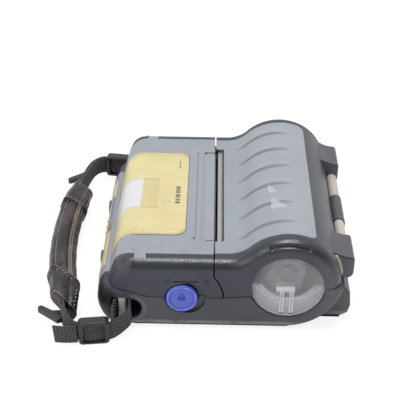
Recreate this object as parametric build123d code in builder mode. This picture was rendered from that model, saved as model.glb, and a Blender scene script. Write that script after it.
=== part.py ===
from build123d import *

import math
import os

# A rugged 4-inch portable label printer with a hand strap, in millimetres. +Z is up, -X is the
# front with the strap, +X is the hinge side, and the origin is on the floor under the middle.

os.makedirs("parts", exist_ok=True)

# ---- Driving dimensions -------------------------------------------------------------------

HALF_WIDTH = 80.0  # flat sides of the casing at Y = -80 and +80
CHASSIS_WALL = 2.6
CASING_WALL = 3.2
COVER_WALL = 2.8
SKIN = 1.4  # thickness of the light grey inlays
SIDE_FILLET = 8.0  # rounding of the long top edges
CORNER_FILLET = 14.0  # rounding of the two front corners

DECK_Z = 50.6  # flat top in front of the cover
FRONT_ARC = 13.0  # radius where the deck turns down to the front
FRONT_ARC_X = -38.0
FRONT_LEAN = 17.0  # degrees from upright of the front face
HUMP = (57.5, 33.2)  # centre of the media bay, in X and Z
HUMP_R = 33.0
SWEEP_R = 20.0  # hollow curve from the deck up to the hump
FORM_FOOT_Z = 12.0  # the upper form is drawn down to here and trimmed at the parting line

BASE_Z = 1.7  # underside of the chassis
REAR_ARC = (56.5, 37.2)  # rounded back of the chassis
REAR_ARC_R = 35.5
NOSE = (-41.0, 14.6)  # bulged front of the chassis
NOSE_R = 20.5
BASE_FILLET = 3.4

FRONT_SEAM_Z = 28.5  # parting line round the front
SIDE_SEAM_Z = 24.0  # parting line along the sides
REAR_SEAM_Z = 32.4  # parting line behind the window
BEZEL_Z = (7.5, 28.4)  # light grey front band with the keys
SLOT_X = 11.5  # edge of the deck at the paper slot
SEAM_GAP = 0.5

WINDOW = (57.4, 33.1)
WINDOW_R = 22.1
WINDOW_CUT_R = 23.7  # half-round cut in the chassis that the window drops into
BAY_R = 25.0  # inside of the media cradle
LINER_WALL = 1.5

HINGE = (94.0, 37.0)
KNUCKLE_R = 4.5
ROD_R = 1.5
RUNNING = 0.06  # radial clearance of a turning fit

PLATEN = (19.5, 38.3)
PLATEN_R = 6.4
PLATEN_SHAFT_R = 2.5
GEAR_MODULE = 0.9
PLATEN_TEETH = 16
IDLER_TEETH = 20
MOTOR_TEETH = 12
BACKLASH_CENTRES = 0.12  # added to each centre distance
GEAR_Y = (62.0, 66.0)

RIB_COUNT = 6
RIB_PITCH = 22.0
RIB_MIDDLE_X = 44.0
RIB_LENGTH = 40.0
RIB_HEIGHT = 1.0
RIB_STEEP = 2.4  # width of a rib's near slope
RIB_GENTLE = 7.0  # width of its far slope
RIB_STATIONS = 9

BUTTON = (-7.7, 23.7)  # round release button on the near side, in X and Z
BUTTON_R = 9.9
BUTTON_HOLE_R = 10.7
BUTTON_FACE_Y = -81.2

LUG = (-43.9, 73.0)  # upright strap bar, in X and |Y|
LUG_Z = 15.1
BAR_R = 2.25
WEBBING = 1.7  # thickness of one layer
WEBBING_HEIGHT = 12.8

PAD_ARC = 303.0  # radius of the bow of the hand grip
PAD_OUTER_X = -98.5
PAD_SECTION = (15.5, 11.5)  # width and thickness of the hand grip
PAD_ROUND = 4.2
PAD_TILT = -22.0  # degrees; its outer edge stands higher
PAD_HALF = 66.0
PAD_MIDDLE = 14.9
PAD_LINE_X = PAD_OUTER_X + 8.1


# ---- Helpers ------------------------------------------------------------------------------


def polar(centre, radius, degrees):
    """A point on a circle, as plain numbers."""
    angle = math.radians(degrees)
    return (centre[0] + radius * math.cos(angle), centre[1] + radius * math.sin(angle))


def box_between(low, high, mode=Mode.ADD):
    """A box between two corners, in the part being built."""
    middle = [(a + b) / 2 for a, b in zip(low, high)]
    with Locations(tuple(middle)):
        Box(*[b - a for a, b in zip(low, high)], mode=mode)


def rod_x(y, z, radius, x0, x1, mode=Mode.ADD):
    with BuildSketch(Plane.YZ.offset(x0)) as profile:
        with Locations((y, z)):
            Circle(radius)
    extrude(profile.sketch, amount=x1 - x0, mode=mode)


def rod_y(x, z, radius, y0, y1, mode=Mode.ADD):
    with BuildSketch(Plane.XZ.offset(-y1)) as profile:
        with Locations((x, z)):
            Circle(radius)
    extrude(profile.sketch, amount=y1 - y0, mode=mode)


def rod_z(x, y, radius, z0, z1, mode=Mode.ADD):
    with BuildSketch(Plane.XY.offset(z0)) as profile:
        with Locations((x, y)):
            Circle(radius)
    extrude(profile.sketch, amount=z1 - z0, mode=mode)


def slab_y(points, y0, y1, mode=Mode.ADD):
    """A polygon of X, Z points, thick along Y."""
    with BuildSketch(Plane.XZ.offset(-y1)) as profile:
        with BuildLine():
            Polyline(*points, close=True)
        make_face()
    extrude(profile.sketch, amount=y1 - y0, mode=mode)


def slab_z(points, z0, z1, mode=Mode.ADD):
    """A polygon of X, Y points, thick along Z."""
    with BuildSketch(Plane.XY.offset(z0)) as profile:
        with BuildLine():
            Polyline(*points, close=True)
        make_face()
    extrude(profile.sketch, amount=z1 - z0, mode=mode)


def finish(part, label):
    part.label = label
    export_step(part, "parts/" + label + ".step")


def outline_edges(part, lowest_z=-math.inf):
    """The edges round both flat sides, which are its lowest and highest faces along Y."""
    ends = part.faces().sort_by(Axis.Y)
    edges = ends[0].edges() + ends[-1].edges()
    return [edge for edge in edges if edge.center().Z > lowest_z]


# ---- Outer forms --------------------------------------------------------------------------


def sweep_centre():
    """The hollow curve touches both the deck line and the hump."""
    rise = DECK_Z + SWEEP_R - HUMP[1]
    reach = math.sqrt((HUMP_R + SWEEP_R) ** 2 - rise**2)
    return (HUMP[0] - reach, DECK_Z + SWEEP_R)


def upper_form(inset):
    """The casing and cover as one solid body, every surface moved in by inset."""
    arc_centre = (FRONT_ARC_X, DECK_Z - FRONT_ARC)
    arc_r = FRONT_ARC - inset
    arc_end = 90 + 90 - FRONT_LEAN
    sweep = sweep_centre()
    sweep_r = SWEEP_R + inset
    hump_r = HUMP_R - inset
    meet = math.degrees(math.atan2(sweep[1] - HUMP[1], sweep[0] - HUMP[0]))
    shoulder = polar(arc_centre, arc_r, arc_end)
    run = math.tan(math.radians(FRONT_LEAN))
    foot_x = shoulder[0] - (shoulder[1] - FORM_FOOT_Z) * run
    half = HALF_WIDTH - inset
    with BuildPart() as rounded:
        with BuildSketch(Plane.XZ):
            with BuildLine():
                Line((foot_x, FORM_FOOT_Z), shoulder)
                ThreePointArc(
                    shoulder,
                    polar(arc_centre, arc_r, (arc_end + 90) / 2),
                    polar(arc_centre, arc_r, 90),
                )
                Line((FRONT_ARC_X, DECK_Z - inset), (sweep[0], DECK_Z - inset))
                ThreePointArc(
                    (sweep[0], DECK_Z - inset),
                    polar(sweep, sweep_r, (270 + meet + 180) / 2),
                    polar(sweep, sweep_r, meet + 180),
                )
                ThreePointArc(
                    polar(HUMP, hump_r, meet),
                    polar(HUMP, hump_r, meet / 2),
                    polar(HUMP, hump_r, 0),
                )
                Polyline(
                    (HUMP[0] + hump_r, HUMP[1]),
                    (HUMP[0] + hump_r, FORM_FOOT_Z),
                    (foot_x, FORM_FOOT_Z),
                )
            make_face()
        extrude(amount=half, both=True)
        fillet(outline_edges(rounded, FORM_FOOT_Z + 1), SIDE_FILLET - inset)
    top_z = 75
    lean_x = shoulder[0] + (top_z - shoulder[1]) * run
    with BuildPart() as cornered:
        with BuildSketch(Plane.XZ):
            with BuildLine():
                Polyline(
                    (foot_x, FORM_FOOT_Z), (lean_x, top_z), (120, top_z), (120, FORM_FOOT_Z), close=True
                )
            make_face()
        extrude(amount=half, both=True)
        front_edges = [e for e in outline_edges(cornered) if e.center().X < 0 and FORM_FOOT_Z + 1 < e.center().Z < top_z - 1]
        fillet(front_edges, CORNER_FILLET - inset)
    with BuildPart() as form:
        add(rounded.part)
        add(cornered.part, mode=Mode.INTERSECT)
    return form.part


def nose_x(z, inset):
    """Front of the bulged chassis at a height."""
    return NOSE[0] - math.sqrt((NOSE_R - inset) ** 2 - (z - NOSE[1]) ** 2)


def lower_form(inset):
    """The chassis as one solid body, every surface moved in by inset."""
    rear_r = REAR_ARC_R - inset
    base = BASE_Z + inset
    crown_z = 40.0
    half = HALF_WIDTH - inset
    with BuildPart() as rounded:
        with BuildSketch(Plane.XZ):
            with BuildLine():
                Line((-75, base), (REAR_ARC[0], base))
                ThreePointArc(
                    (REAR_ARC[0], base),
                    polar(REAR_ARC, rear_r, -45),
                    polar(REAR_ARC, rear_r, 0),
                )
                Polyline(
                    polar(REAR_ARC, rear_r, 0),
                    (REAR_ARC[0] + rear_r, crown_z),
                    (-75, crown_z),
                    (-75, base),
                )
            make_face()
        extrude(amount=half, both=True)
        keel = [e for e in outline_edges(rounded) if e.center().Z < 28 and e.center().X > -70]
        fillet(keel, max(BASE_FILLET - inset, 0.8))
    corner = CORNER_FILLET - inset
    levels = (0.5, 5.0, 10.0, NOSE[1], 19.5, 24.5, 29.0)
    with BuildPart() as nosed:
        for level in levels:
            front = nose_x(level, inset)
            with BuildSketch(Plane.XY.offset(level)):
                with BuildLine():
                    Line((110, half), (front + corner, half))
                    RadiusArc((front + corner, half), (front, half - corner), -corner)
                    Line((front, half - corner), (front, corner - half))
                    RadiusArc((front, corner - half), (front + corner, -half), -corner)
                    Line((front + corner, -half), (110, -half))
                    Line((110, -half), (110, half))
                make_face()
        loft()
        top = nosed.faces().sort_by(Axis.Z)[-1]
        extrude(top, amount=12)
    with BuildPart() as form:
        add(rounded.part)
        add(nosed.part, mode=Mode.INTERSECT)
    return form.part


def chassis_side(gap=0.0):
    """Side outline of everything below the parting line, lowered by gap."""
    with BuildSketch(Plane.XZ.offset(-100)) as outline:
        with BuildLine():
            Polyline((-36.0, SIDE_SEAM_Z + 2.6 - gap), (-42.5, FRONT_SEAM_Z - gap), (-90, FRONT_SEAM_Z - gap))
            Spline(
                (-36.0, SIDE_SEAM_Z + 2.6 - gap),
                (-25.5, SIDE_SEAM_Z - gap),
                tangents=((2, -0.9), (2, 0)),
            )
            Polyline(
                (-25.5, SIDE_SEAM_Z - gap),
                (18.1, SIDE_SEAM_Z - gap),
                (34.8, SIDE_SEAM_Z + 1.8 - gap),
                (81.0, REAR_SEAM_Z - gap),
                (110, REAR_SEAM_Z - gap),
                (110, -10),
                (-90, -10),
                (-90, FRONT_SEAM_Z - gap),
            )
        make_face()
    return outline.sketch


# Split between the casing and the cover on the sides, from the deck down
SPLIT = [(0.0, 90.0), (0.0, 40.5), (2.4, 36.8), (4.6, 32.2), (5.9, 27.6), (6.6, 10.0)]


def split_side(start_x, end_x):
    """Side outline between the split line, set at start_x on the deck, and end_x."""
    points = [(start_x + dx, z) for dx, z in SPLIT]
    return points + [(end_x, 10.0), (end_x, 90.0)]


def deck_region(grow):
    """Plan of the deck inlay with its two tabs over the side rims."""
    half = 70.5 + grow
    turn = 24.0 + grow
    with BuildSketch(Plane.XY.offset(FRONT_SEAM_Z + 0.5 - grow)) as plan:
        with BuildLine():
            Line((SLOT_X, -half), (-37, -half))
            RadiusArc((-37, -half), (-37 - turn, -half + turn), turn)
            Line((-37 - turn, -half + turn), (-37 - turn, half - turn))
            RadiusArc((-37 - turn, half - turn), (-37, half), turn)
            Polyline((-37, half), (SLOT_X, half), (SLOT_X, -half))
        make_face()
        with Locations((-33.4, 0)):
            Rectangle(7.2 + 2 * grow, 150.4 + 2 * grow)
    return plan.sketch


def cover_region(grow):
    """Plan of the cover inlay."""
    with BuildSketch(Plane.XY.offset(40)) as plan:
        with Locations(((12.0 + 74.0) / 2, 0)):
            Rectangle(62.0 + 2 * grow, 139.0 + 2 * grow)
        fillet(plan.vertices().group_by(Axis.X)[-1], 5.0)
    return plan.sketch


LOWER = lower_form(0.0)
LOWER_INNER = lower_form(CHASSIS_WALL)
UPPER = upper_form(0.0)
UPPER_OVER = upper_form(-1.0)
UPPER_UNDER_SKIN = upper_form(SKIN + 0.06)
UPPER_SKIN_INNER = upper_form(SKIN)
CASING_INNER = upper_form(CASING_WALL)
COVER_INNER = upper_form(COVER_WALL)



def skin_between(outer, inner, region, height):
    """The layer between two forms that lies inside a plan region."""
    with BuildPart() as layer:
        add(outer)
        add(inner, mode=Mode.SUBTRACT)
        extrude(region, amount=height, mode=Mode.INTERSECT)
    return layer.part


def outer_curve(inset, count, x_low, x_high):
    """Points on the hollow curve and the hump between two X positions, moved in by inset."""
    sweep = sweep_centre()
    points = []
    for index in range(count):
        x = x_low + (x_high - x_low) * index / (count - 1)
        share = inset[index]
        if x < sweep[0]:
            points.append((x, DECK_Z - share))
        elif x < HUMP[0] - (HUMP[0] - sweep[0]) * HUMP_R / (HUMP_R + SWEEP_R):
            points.append((x, sweep[1] - math.sqrt((SWEEP_R + share) ** 2 - (x - sweep[0]) ** 2)))
        else:
            points.append((x, HUMP[1] + math.sqrt((HUMP_R - share) ** 2 - (x - HUMP[0]) ** 2)))
    return points


def rib_section(y, height):
    """Section of one rib: height at its middle, running out at both ends."""
    fade = [math.sin(math.pi * index / (RIB_STATIONS - 1)) ** 0.6 for index in range(RIB_STATIONS)]
    ends = (RIB_MIDDLE_X - RIB_LENGTH / 2, RIB_MIDDLE_X + RIB_LENGTH / 2)
    crest = outer_curve([0.05 - height * share for share in fade], RIB_STATIONS, *ends)
    root = outer_curve([SKIN / 2] * RIB_STATIONS, RIB_STATIONS, *ends)
    with BuildSketch(Plane.XZ.offset(-y)) as section:
        with BuildLine():
            Spline(*crest)
            Line(crest[-1], root[-1])
            Spline(*reversed(root))
            Line(root[0], crest[0])
        make_face()
    return section.sketch.face()


def cover_ribs():
    """Six soft wedges along the hump, each steep towards -Y and gentle towards +Y."""
    with BuildPart() as ribs:
        for index in range(RIB_COUNT):
            y = (index - (RIB_COUNT - 1) / 2) * RIB_PITCH
            loft([rib_section(y - RIB_STEEP, 0.0), rib_section(y, RIB_HEIGHT), rib_section(y + RIB_GENTLE, 0.0)], ruled=True)
    return ribs.part


DECK_SEAT = skin_between(UPPER_OVER, UPPER_UNDER_SKIN, deck_region(0.15), 50)
COVER_SEAT = skin_between(UPPER_OVER, UPPER_UNDER_SKIN, cover_region(0.15), 40)
COVER_RIBS = cover_ribs()

FINGER_SCOOP = (BUTTON[0] + 3.2, BUTTON[1])
FINGER_SCOOP_R = BUTTON_R + 1.7
SLOT_HALF = 57.0
BATTERY = ((-46.0, -37.0, 0.9), (7.0, 37.0, 20.4))
BATTERY_GAP = 0.5
SCREWS = [(-28.0, 54.0), (-28.0, -54.0), (19.8, 54.0), (19.8, -54.0)]
PORT_X = (-16.0, 6.0)
PORT_Z = (9.2, 21.0)
POCKET_X = (-51.5, -32.5)
POCKET_Z = (7.2, 23.0)
POCKET_Y = 66.5
POCKET_SHELL = 1.5
REAR_BLOCK = [(80, 3), (92.7, 3), (96.9, 5.5), (98.4, 11.2), (97.5, 21.6), (93.9, 26.2), (84, 26.2)]
REAR_BLOCK_HALF = 68.0
MID_KNUCKLE_HALF = 14.3
SLEEVE_END = 42.4
KNUCKLE_Y = (42.6, 68.4)
ROD_END = 66.0


def knuckle_stem():
    """Side outline of the chassis knuckle that holds the hinge rod."""
    left = polar(HINGE, 4.2, 180)
    right = polar(HINGE, 4.2, 0)
    with BuildSketch(Plane.XZ) as outline:
        with BuildLine():
            ThreePointArc(left, polar(HINGE, 4.2, 90), right)
            Polyline(right, (97.6, 21.0), (87.0, 21.0), (89.8, 29.0), left)
        make_face()
    return outline.sketch


def pocket_outline(grow):
    """Side outline of a strap pocket, rounded at its rear end."""
    radius = (POCKET_Z[1] - POCKET_Z[0]) / 2 + grow
    middle = (POCKET_Z[0] + POCKET_Z[1]) / 2
    front = POCKET_X[0] - grow
    rear = POCKET_X[1] + grow - radius
    with BuildSketch(Plane.XZ) as outline:
        with BuildLine():
            Line((rear, middle + radius), (front, middle + radius))
            Line((front, middle + radius), (front, middle - radius))
            Line((front, middle - radius), (rear, middle - radius))
            ThreePointArc((rear, middle - radius), (rear + radius, middle), (rear, middle + radius))
        make_face()
    return outline.sketch


# ---- Chassis ------------------------------------------------------------------------------

with BuildPart() as lower_chassis:
    add(LOWER)
    add(LOWER_INNER, mode=Mode.SUBTRACT)
    # Strap pockets, with the walls that box them in behind the side
    for side in (-1, 1):
        with BuildSketch(Plane.XZ.offset(-side * (POCKET_Y - POCKET_SHELL))):
            add(pocket_outline(POCKET_SHELL))
        extrude(amount=-side * (HALF_WIDTH - 2 - POCKET_Y + POCKET_SHELL))
        with BuildSketch(Plane.XZ.offset(-side * POCKET_Y)):
            add(pocket_outline(0))
        extrude(amount=-side * 20, mode=Mode.SUBTRACT)
    # Battery bay let up into the floor, with its side walls and roof
    low, high = BATTERY
    bay_low = (low[0] - BATTERY_GAP, low[1] - BATTERY_GAP)
    bay_high = (high[0] + BATTERY_GAP, high[1] + BATTERY_GAP)
    box_between((bay_low[0] - 1.5, bay_low[1] - 1.5, 4.0), (bay_high[0] + 1.5, bay_high[1] + 1.5, 23.0))
    box_between((*bay_low, 0.0), (*bay_high, 21.4), mode=Mode.SUBTRACT)
    # Latch window beside the bay
    box_between((7.0, -4.6, 0.0), (9.6, 4.6, 5.6), mode=Mode.SUBTRACT)
    box_between((8.4, -8.4, 0.0), (21.0, 8.4, 4.4), mode=Mode.SUBTRACT)
    # Rear block and the knuckle that holds the rod
    slab_y(REAR_BLOCK, -REAR_BLOCK_HALF, REAR_BLOCK_HALF)
    slab_y(
        [(82, 5.4), (91.6, 5.4), (94.6, 7.0), (95.8, 11.4), (95.0, 20.6), (92.7, 23.6), (84, 23.6)],
        2.6 - REAR_BLOCK_HALF,
        REAR_BLOCK_HALF - 2.6,
        mode=Mode.SUBTRACT,
    )
    # Trim along the parting line, then stand the knuckle on the rear block
    with BuildSketch(Plane.XZ.offset(-100)):
        add(chassis_side())
    extrude(amount=200, mode=Mode.INTERSECT)
    with BuildSketch(Plane.XZ.offset(-MID_KNUCKLE_HALF)):
        add(knuckle_stem())
    extrude(amount=2 * MID_KNUCKLE_HALF)
    rod_y(*HINGE, ROD_R + 0.01, -MID_KNUCKLE_HALF, MID_KNUCKLE_HALF, mode=Mode.SUBTRACT)
    # Screw bosses
    for x, y in SCREWS:
        rod_z(x, y, 3.0, 3.5, 11.5)
        rod_z(x, y, 1.5, 0, 10.0, mode=Mode.SUBTRACT)
        rod_z(x, y, 2.8, 0, 3.2, mode=Mode.SUBTRACT)
    # Windows, release button, port and the seat of the front bezel
    for side in (-1, 1):
        rod_y(*WINDOW, WINDOW_CUT_R, *sorted((side * 76, side * 84)), mode=Mode.SUBTRACT)
    rod_y(*BUTTON, BUTTON_HOLE_R, -84, -74, mode=Mode.SUBTRACT)
    rod_y(*FINGER_SCOOP, FINGER_SCOOP_R, -84, -78.0, mode=Mode.SUBTRACT)
    box_between((PORT_X[0], 76.0, PORT_Z[0] - 0.6), (PORT_X[1], 84.0, PORT_Z[1]), mode=Mode.SUBTRACT)
    with BuildSketch(Plane.XZ.offset(-60.1)):
        with Locations(NOSE):
            Circle(NOSE_R + 3)
            Circle(NOSE_R - SKIN - 0.06, mode=Mode.SUBTRACT)
        with Locations((NOSE[0] - 20, (BEZEL_Z[0] + BEZEL_Z[1]) / 2 + 0.9)):
            Rectangle(24, BEZEL_Z[1] - BEZEL_Z[0] + 2, mode=Mode.INTERSECT)
    extrude(amount=120.2, mode=Mode.SUBTRACT)
    for y in (-30.0, 30.0):
        rod_x(y, 17.0, 5.3, -66, -55, mode=Mode.SUBTRACT)
finish(lower_chassis.part, "lower_chassis")

# ---- Casing -------------------------------------------------------------------------------

with BuildPart() as front_casing:
    add(UPPER)
    add(CASING_INNER, mode=Mode.SUBTRACT)
    with BuildSketch(Plane.XZ.offset(-100)):
        with BuildLine():
            Polyline(*split_side(SLOT_X, -90.0), close=True)
        make_face()
    extrude(amount=200, mode=Mode.INTERSECT)
    with BuildSketch(Plane.XZ.offset(-100)):
        add(chassis_side(-SEAM_GAP))
    extrude(amount=200, mode=Mode.SUBTRACT)
    rod_y(*BUTTON, BUTTON_HOLE_R, -84, -74, mode=Mode.SUBTRACT)
    rod_y(*FINGER_SCOOP, FINGER_SCOOP_R, -84, -78.0, mode=Mode.SUBTRACT)
    # Engraved line over the release button
    box_between((-13.0, -80.5, 35.9), (2.3, -79.4, 36.7), mode=Mode.SUBTRACT)
    # Seat of the deck inlay
    add(DECK_SEAT, mode=Mode.SUBTRACT)
finish(front_casing.part, "front_casing")

with BuildPart() as deck_panel:
    add(UPPER)
    add(UPPER_SKIN_INNER, mode=Mode.SUBTRACT)
    extrude(deck_region(0.0), amount=50, mode=Mode.INTERSECT)
    # Raised band at the slot and the fine groove in front of it
    box_between((6.0, -56.0, DECK_Z - 0.5), (SLOT_X, 56.0, DECK_Z + 0.4))
    box_between((-0.6, -51.0, DECK_Z - 0.7), (0.2, 51.0, DECK_Z + 1), mode=Mode.SUBTRACT)
finish(deck_panel.part, "deck_panel")

with BuildPart() as keypad_bezel:
    with BuildSketch(Plane.XZ.offset(-60)):
        with Locations(NOSE):
            Circle(NOSE_R + 0.3)
            Circle(NOSE_R - SKIN, mode=Mode.SUBTRACT)
        with Locations((NOSE[0] - 20, (BEZEL_Z[0] + BEZEL_Z[1]) / 2)):
            Rectangle(24, BEZEL_Z[1] - BEZEL_Z[0], mode=Mode.INTERSECT)
    extrude(amount=120)
    for y in (-30.0, 30.0):
        rod_x(y, 17.0, 5.3, -66, -55, mode=Mode.SUBTRACT)
    for y in (-7.0, 0.0, 7.0):
        rod_x(y, 21.0, 1.55, -66, -55, mode=Mode.SUBTRACT)
finish(keypad_bezel.part, "keypad_bezel")

with BuildPart() as keypad_overlay:
    with BuildSketch(Plane.XZ.offset(-51)):
        with Locations(NOSE):
            Circle(NOSE_R + 0.7)
            Circle(NOSE_R + 0.3, mode=Mode.SUBTRACT)
        with Locations((NOSE[0] - 20, 18.3)):
            Rectangle(24, 17.0, mode=Mode.INTERSECT)
    extrude(amount=102)
    for y in (-30.0, 30.0):
        rod_x(y, 17.0, 5.3, -66, -55, mode=Mode.SUBTRACT)
    for y in (-7.0, 0.0, 7.0):
        rod_x(y, 21.0, 1.55, -66, -55, mode=Mode.SUBTRACT)
finish(keypad_overlay.part, "keypad_overlay")

for name, y in (("power_key", 30.0), ("feed_key", -30.0)):
    with BuildPart() as key:
        rod_x(y, 17.0, 5.0, -62.6, -58.0)
        fillet(key.faces().sort_by(Axis.X)[0].edges(), 0.5)
        rod_x(y, 17.0, 2.0, -58.0, -56.9)
    finish(key.part, name)

with BuildPart() as status_lenses:
    for y in (-7.0, 0.0, 7.0):
        rod_x(y, 21.0, 1.5, -61.7, -59.5)
finish(status_lenses.part, "status_lenses")

# ---- Cover --------------------------------------------------------------------------------


def cover_clearance():
    """What the cover leaves free round the slot: the deck side and the sunk strip."""
    with BuildPart() as cut:
        box_between((0, -SLOT_HALF, 40), (SLOT_X + 2.0, SLOT_HALF, 80))
        box_between((SLOT_X + 1, -56.5, DECK_Z - 3.0), (17.8, 56.5, 80))
    return cut.part


def cover_knuckle(side):
    """One hinge knuckle of the cover, from the hump to round the rod, its sides rounded over."""
    root = polar(HUMP, HUMP_R - 1.0, 40)
    heel = polar(HUMP, HUMP_R - 1.0, 3)
    with BuildPart() as knuckle:
        with BuildSketch(Plane.XZ.offset(-side * KNUCKLE_Y[0])):
            with BuildLine():
                Spline(root, (89.2, 49.9), (96.0, 48.3), tangents=((0.75, -0.66), (1, -0.03)))
                ThreePointArc((96.0, 48.3), (97.8, 47.4), (98.5, 45.6))
                Line((98.5, 45.6), (98.5, HINGE[1]))
                ThreePointArc(
                    (98.5, HINGE[1]), polar(HINGE, KNUCKLE_R, -60), polar(HINGE, KNUCKLE_R, -140)
                )
                Polyline(polar(HINGE, KNUCKLE_R, -140), heel, root)
            make_face()
        extrude(amount=-side * (KNUCKLE_Y[1] - KNUCKLE_Y[0]))
        outside = [edge for edge in outline_edges(knuckle) if edge.center().X > 89.0]
        fillet(outside, 1.2)
    return knuckle.part


CLEAR_SLOT = cover_clearance()


def rim_dimple(side):
    """A groove round the hump in the rounded rim over a window, with round ends."""
    lean = math.radians(DIMPLE_LEAN)
    out = SIDE_FILLET + 0.8
    reach = HUMP_R - SIDE_FILLET + out * math.cos(lean)
    width = HALF_WIDTH - SIDE_FILLET + out * math.sin(lean)
    start = math.radians(DIMPLE_START)
    ray = (math.cos(start), 0, math.sin(start))
    across = (-math.sin(start), 0, math.cos(start))
    with BuildPart() as groove:
        with BuildSketch(Plane(origin=(HUMP[0], 0, HUMP[1]), x_dir=ray, z_dir=across)):
            with Locations((reach, -side * width)):
                Circle(DIMPLE_R)
        revolve(axis=Axis((HUMP[0], 0, HUMP[1]), (0, -1, 0)), revolution_arc=DIMPLE_SWEEP)
        for angle in (DIMPLE_START, DIMPLE_START + DIMPLE_SWEEP):
            x, z = polar(HUMP, reach, angle)
            with Locations((x, side * width, z)):
                Sphere(DIMPLE_R)
    return groove.part


DIMPLE_START = 67.0  # degrees from the rear, round the media bay
DIMPLE_SWEEP = 44.0
DIMPLE_LEAN = 52.0  # degrees round the rim's fillet from the crown
DIMPLE_R = 2.3

with BuildPart() as cover_shell:
    add(UPPER)
    add(COVER_INNER, mode=Mode.SUBTRACT)
    with BuildSketch(Plane.XZ.offset(-100)):
        with BuildLine():
            Polyline(*split_side(SLOT_X + 0.9, 120.0), close=True)
        make_face()
    extrude(amount=200, mode=Mode.INTERSECT)
    with BuildSketch(Plane.XZ.offset(-100)):
        add(chassis_side(-SEAM_GAP))
    extrude(amount=200, mode=Mode.SUBTRACT)
    # Beam under the sunk strip, and the two ribs that hold the platen bearings
    box_between((13.5, -60.5, 45.5), (24.0, 60.5, DECK_Z - 1.0))
    for side in (-1, 1):
        with BuildSketch(Plane.XZ.offset(-side * 58.5)):
            with BuildLine():
                Polyline((14.0, 47.0), (14.2, 38.0), (16.5, 33.0), (22.5, 33.0), (27.0, 40.0), (32.0, 53.0), (24.0, 49.5), close=True)
            make_face()
        extrude(amount=-side * 2.0)
        rod_y(*PLATEN, 4.5, *sorted((side * 58, side * 61)), mode=Mode.SUBTRACT)
        # Hinge knuckles
        add(cover_knuckle(side))
        rod_y(*WINDOW, WINDOW_R + 0.1, *sorted((side * 76, side * 84)), mode=Mode.SUBTRACT)
    rod_y(*HINGE, ROD_R + RUNNING, -ROD_END - 0.4, ROD_END + 0.4, mode=Mode.SUBTRACT)
    # Room for the middle knuckle
    rod_y(*HINGE, 4.7, -MID_KNUCKLE_HALF - 0.5, MID_KNUCKLE_HALF + 0.5, mode=Mode.SUBTRACT)
    box_between((89.3, -MID_KNUCKLE_HALF - 0.5, 20), (100, MID_KNUCKLE_HALF + 0.5, HINGE[1]), mode=Mode.SUBTRACT)
    # Room for the sleeves
    for side in (-1, 1):
        rod_y(*HINGE, 3.6, *sorted((side * 14, side * 42.6)), mode=Mode.SUBTRACT)
    add(CLEAR_SLOT, mode=Mode.SUBTRACT)
    # Seat of the inlay
    add(COVER_SEAT, mode=Mode.SUBTRACT)
    # Long polished dimple in the rounded rim over each window
    for side in (-1, 1):
        add(rim_dimple(side), mode=Mode.SUBTRACT)
finish(cover_shell.part, "cover_shell")

with BuildPart() as cover_panel:
    add(UPPER)
    add(UPPER_SKIN_INNER, mode=Mode.SUBTRACT)
    extrude(cover_region(0.0), amount=40, mode=Mode.INTERSECT)
    box_between((0, -100, 40), (SLOT_X + 0.9, 100, 80), mode=Mode.SUBTRACT)
    add(CLEAR_SLOT, mode=Mode.SUBTRACT)
    # Six raised ribs over the hump
    add(COVER_RIBS)
finish(cover_panel.part, "cover_panel")

for name, side in (("window_near", -1), ("window_far", 1)):
    with BuildPart() as window:
        rod_y(*WINDOW, WINDOW_R, *sorted((side * 77.1, side * 79.2)))
        rod_y(*WINDOW, 23.3, *sorted((side * 76.6, side * 77.15)))
    finish(window.part, name)

with BuildPart() as hinge_rod:
    rod_y(*HINGE, ROD_R, -ROD_END, ROD_END)
finish(hinge_rod.part, "hinge_rod")

with BuildPart() as hinge_sleeves:
    for side in (-1, 1):
        ends = sorted((side * (MID_KNUCKLE_HALF + 0.4), side * SLEEVE_END))
        rod_y(*HINGE, 3.4, *ends)
        rod_y(*HINGE, ROD_R + RUNNING, ends[0] - 1, ends[1] + 1, mode=Mode.SUBTRACT)
        # Thin strip that shows between the rim and the end knuckle
        with BuildSketch(Plane.XZ.offset(-side * 68.5)):
            with BuildLine():
                ThreePointArc(polar(HUMP, 33.05, 31), polar(HUMP, 33.05, 18), polar(HUMP, 33.05, 5))
                Line(polar(HUMP, 33.05, 5), polar(HUMP, 34.4, 7))
                ThreePointArc(polar(HUMP, 34.4, 7), polar(HUMP, 34.6, 18), polar(HUMP, 34.4, 30))
                Line(polar(HUMP, 34.4, 30), polar(HUMP, 33.05, 31))
            make_face()
        extrude(amount=-side * 1.4)
finish(hinge_sleeves.part, "hinge_sleeves")

# ---- Platen, tear bar and gear train ------------------------------------------------------


def gear_outline(teeth, turn):
    """Involute gear, with one tooth centred on the angle turn, as a sketch on the XZ plane."""
    pressure = math.radians(20)
    pitch_r = GEAR_MODULE * teeth / 2
    base_r = pitch_r * math.cos(pressure)
    tip_r = pitch_r + 0.85 * GEAR_MODULE
    root_r = pitch_r - 1.15 * GEAR_MODULE
    half_tooth = 0.46 * math.pi / teeth + math.tan(pressure) - pressure
    flank = []
    for step in range(4):
        radius = max(base_r, root_r) + (tip_r - max(base_r, root_r)) * step / 3
        roll = math.acos(min(base_r / radius, 1))
        flank.append((radius, half_tooth - (math.tan(roll) - roll)))
    if root_r < base_r:
        flank.insert(0, (root_r, flank[0][1] - 0.01))
    points = []
    for tooth in range(teeth):
        middle = math.radians(turn) + 2 * math.pi * tooth / teeth
        for radius, half in flank:
            points.append((radius * math.cos(middle - half), radius * math.sin(middle - half)))
        for radius, half in reversed(flank):
            points.append((radius * math.cos(middle + half), radius * math.sin(middle + half)))
    return points


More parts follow.
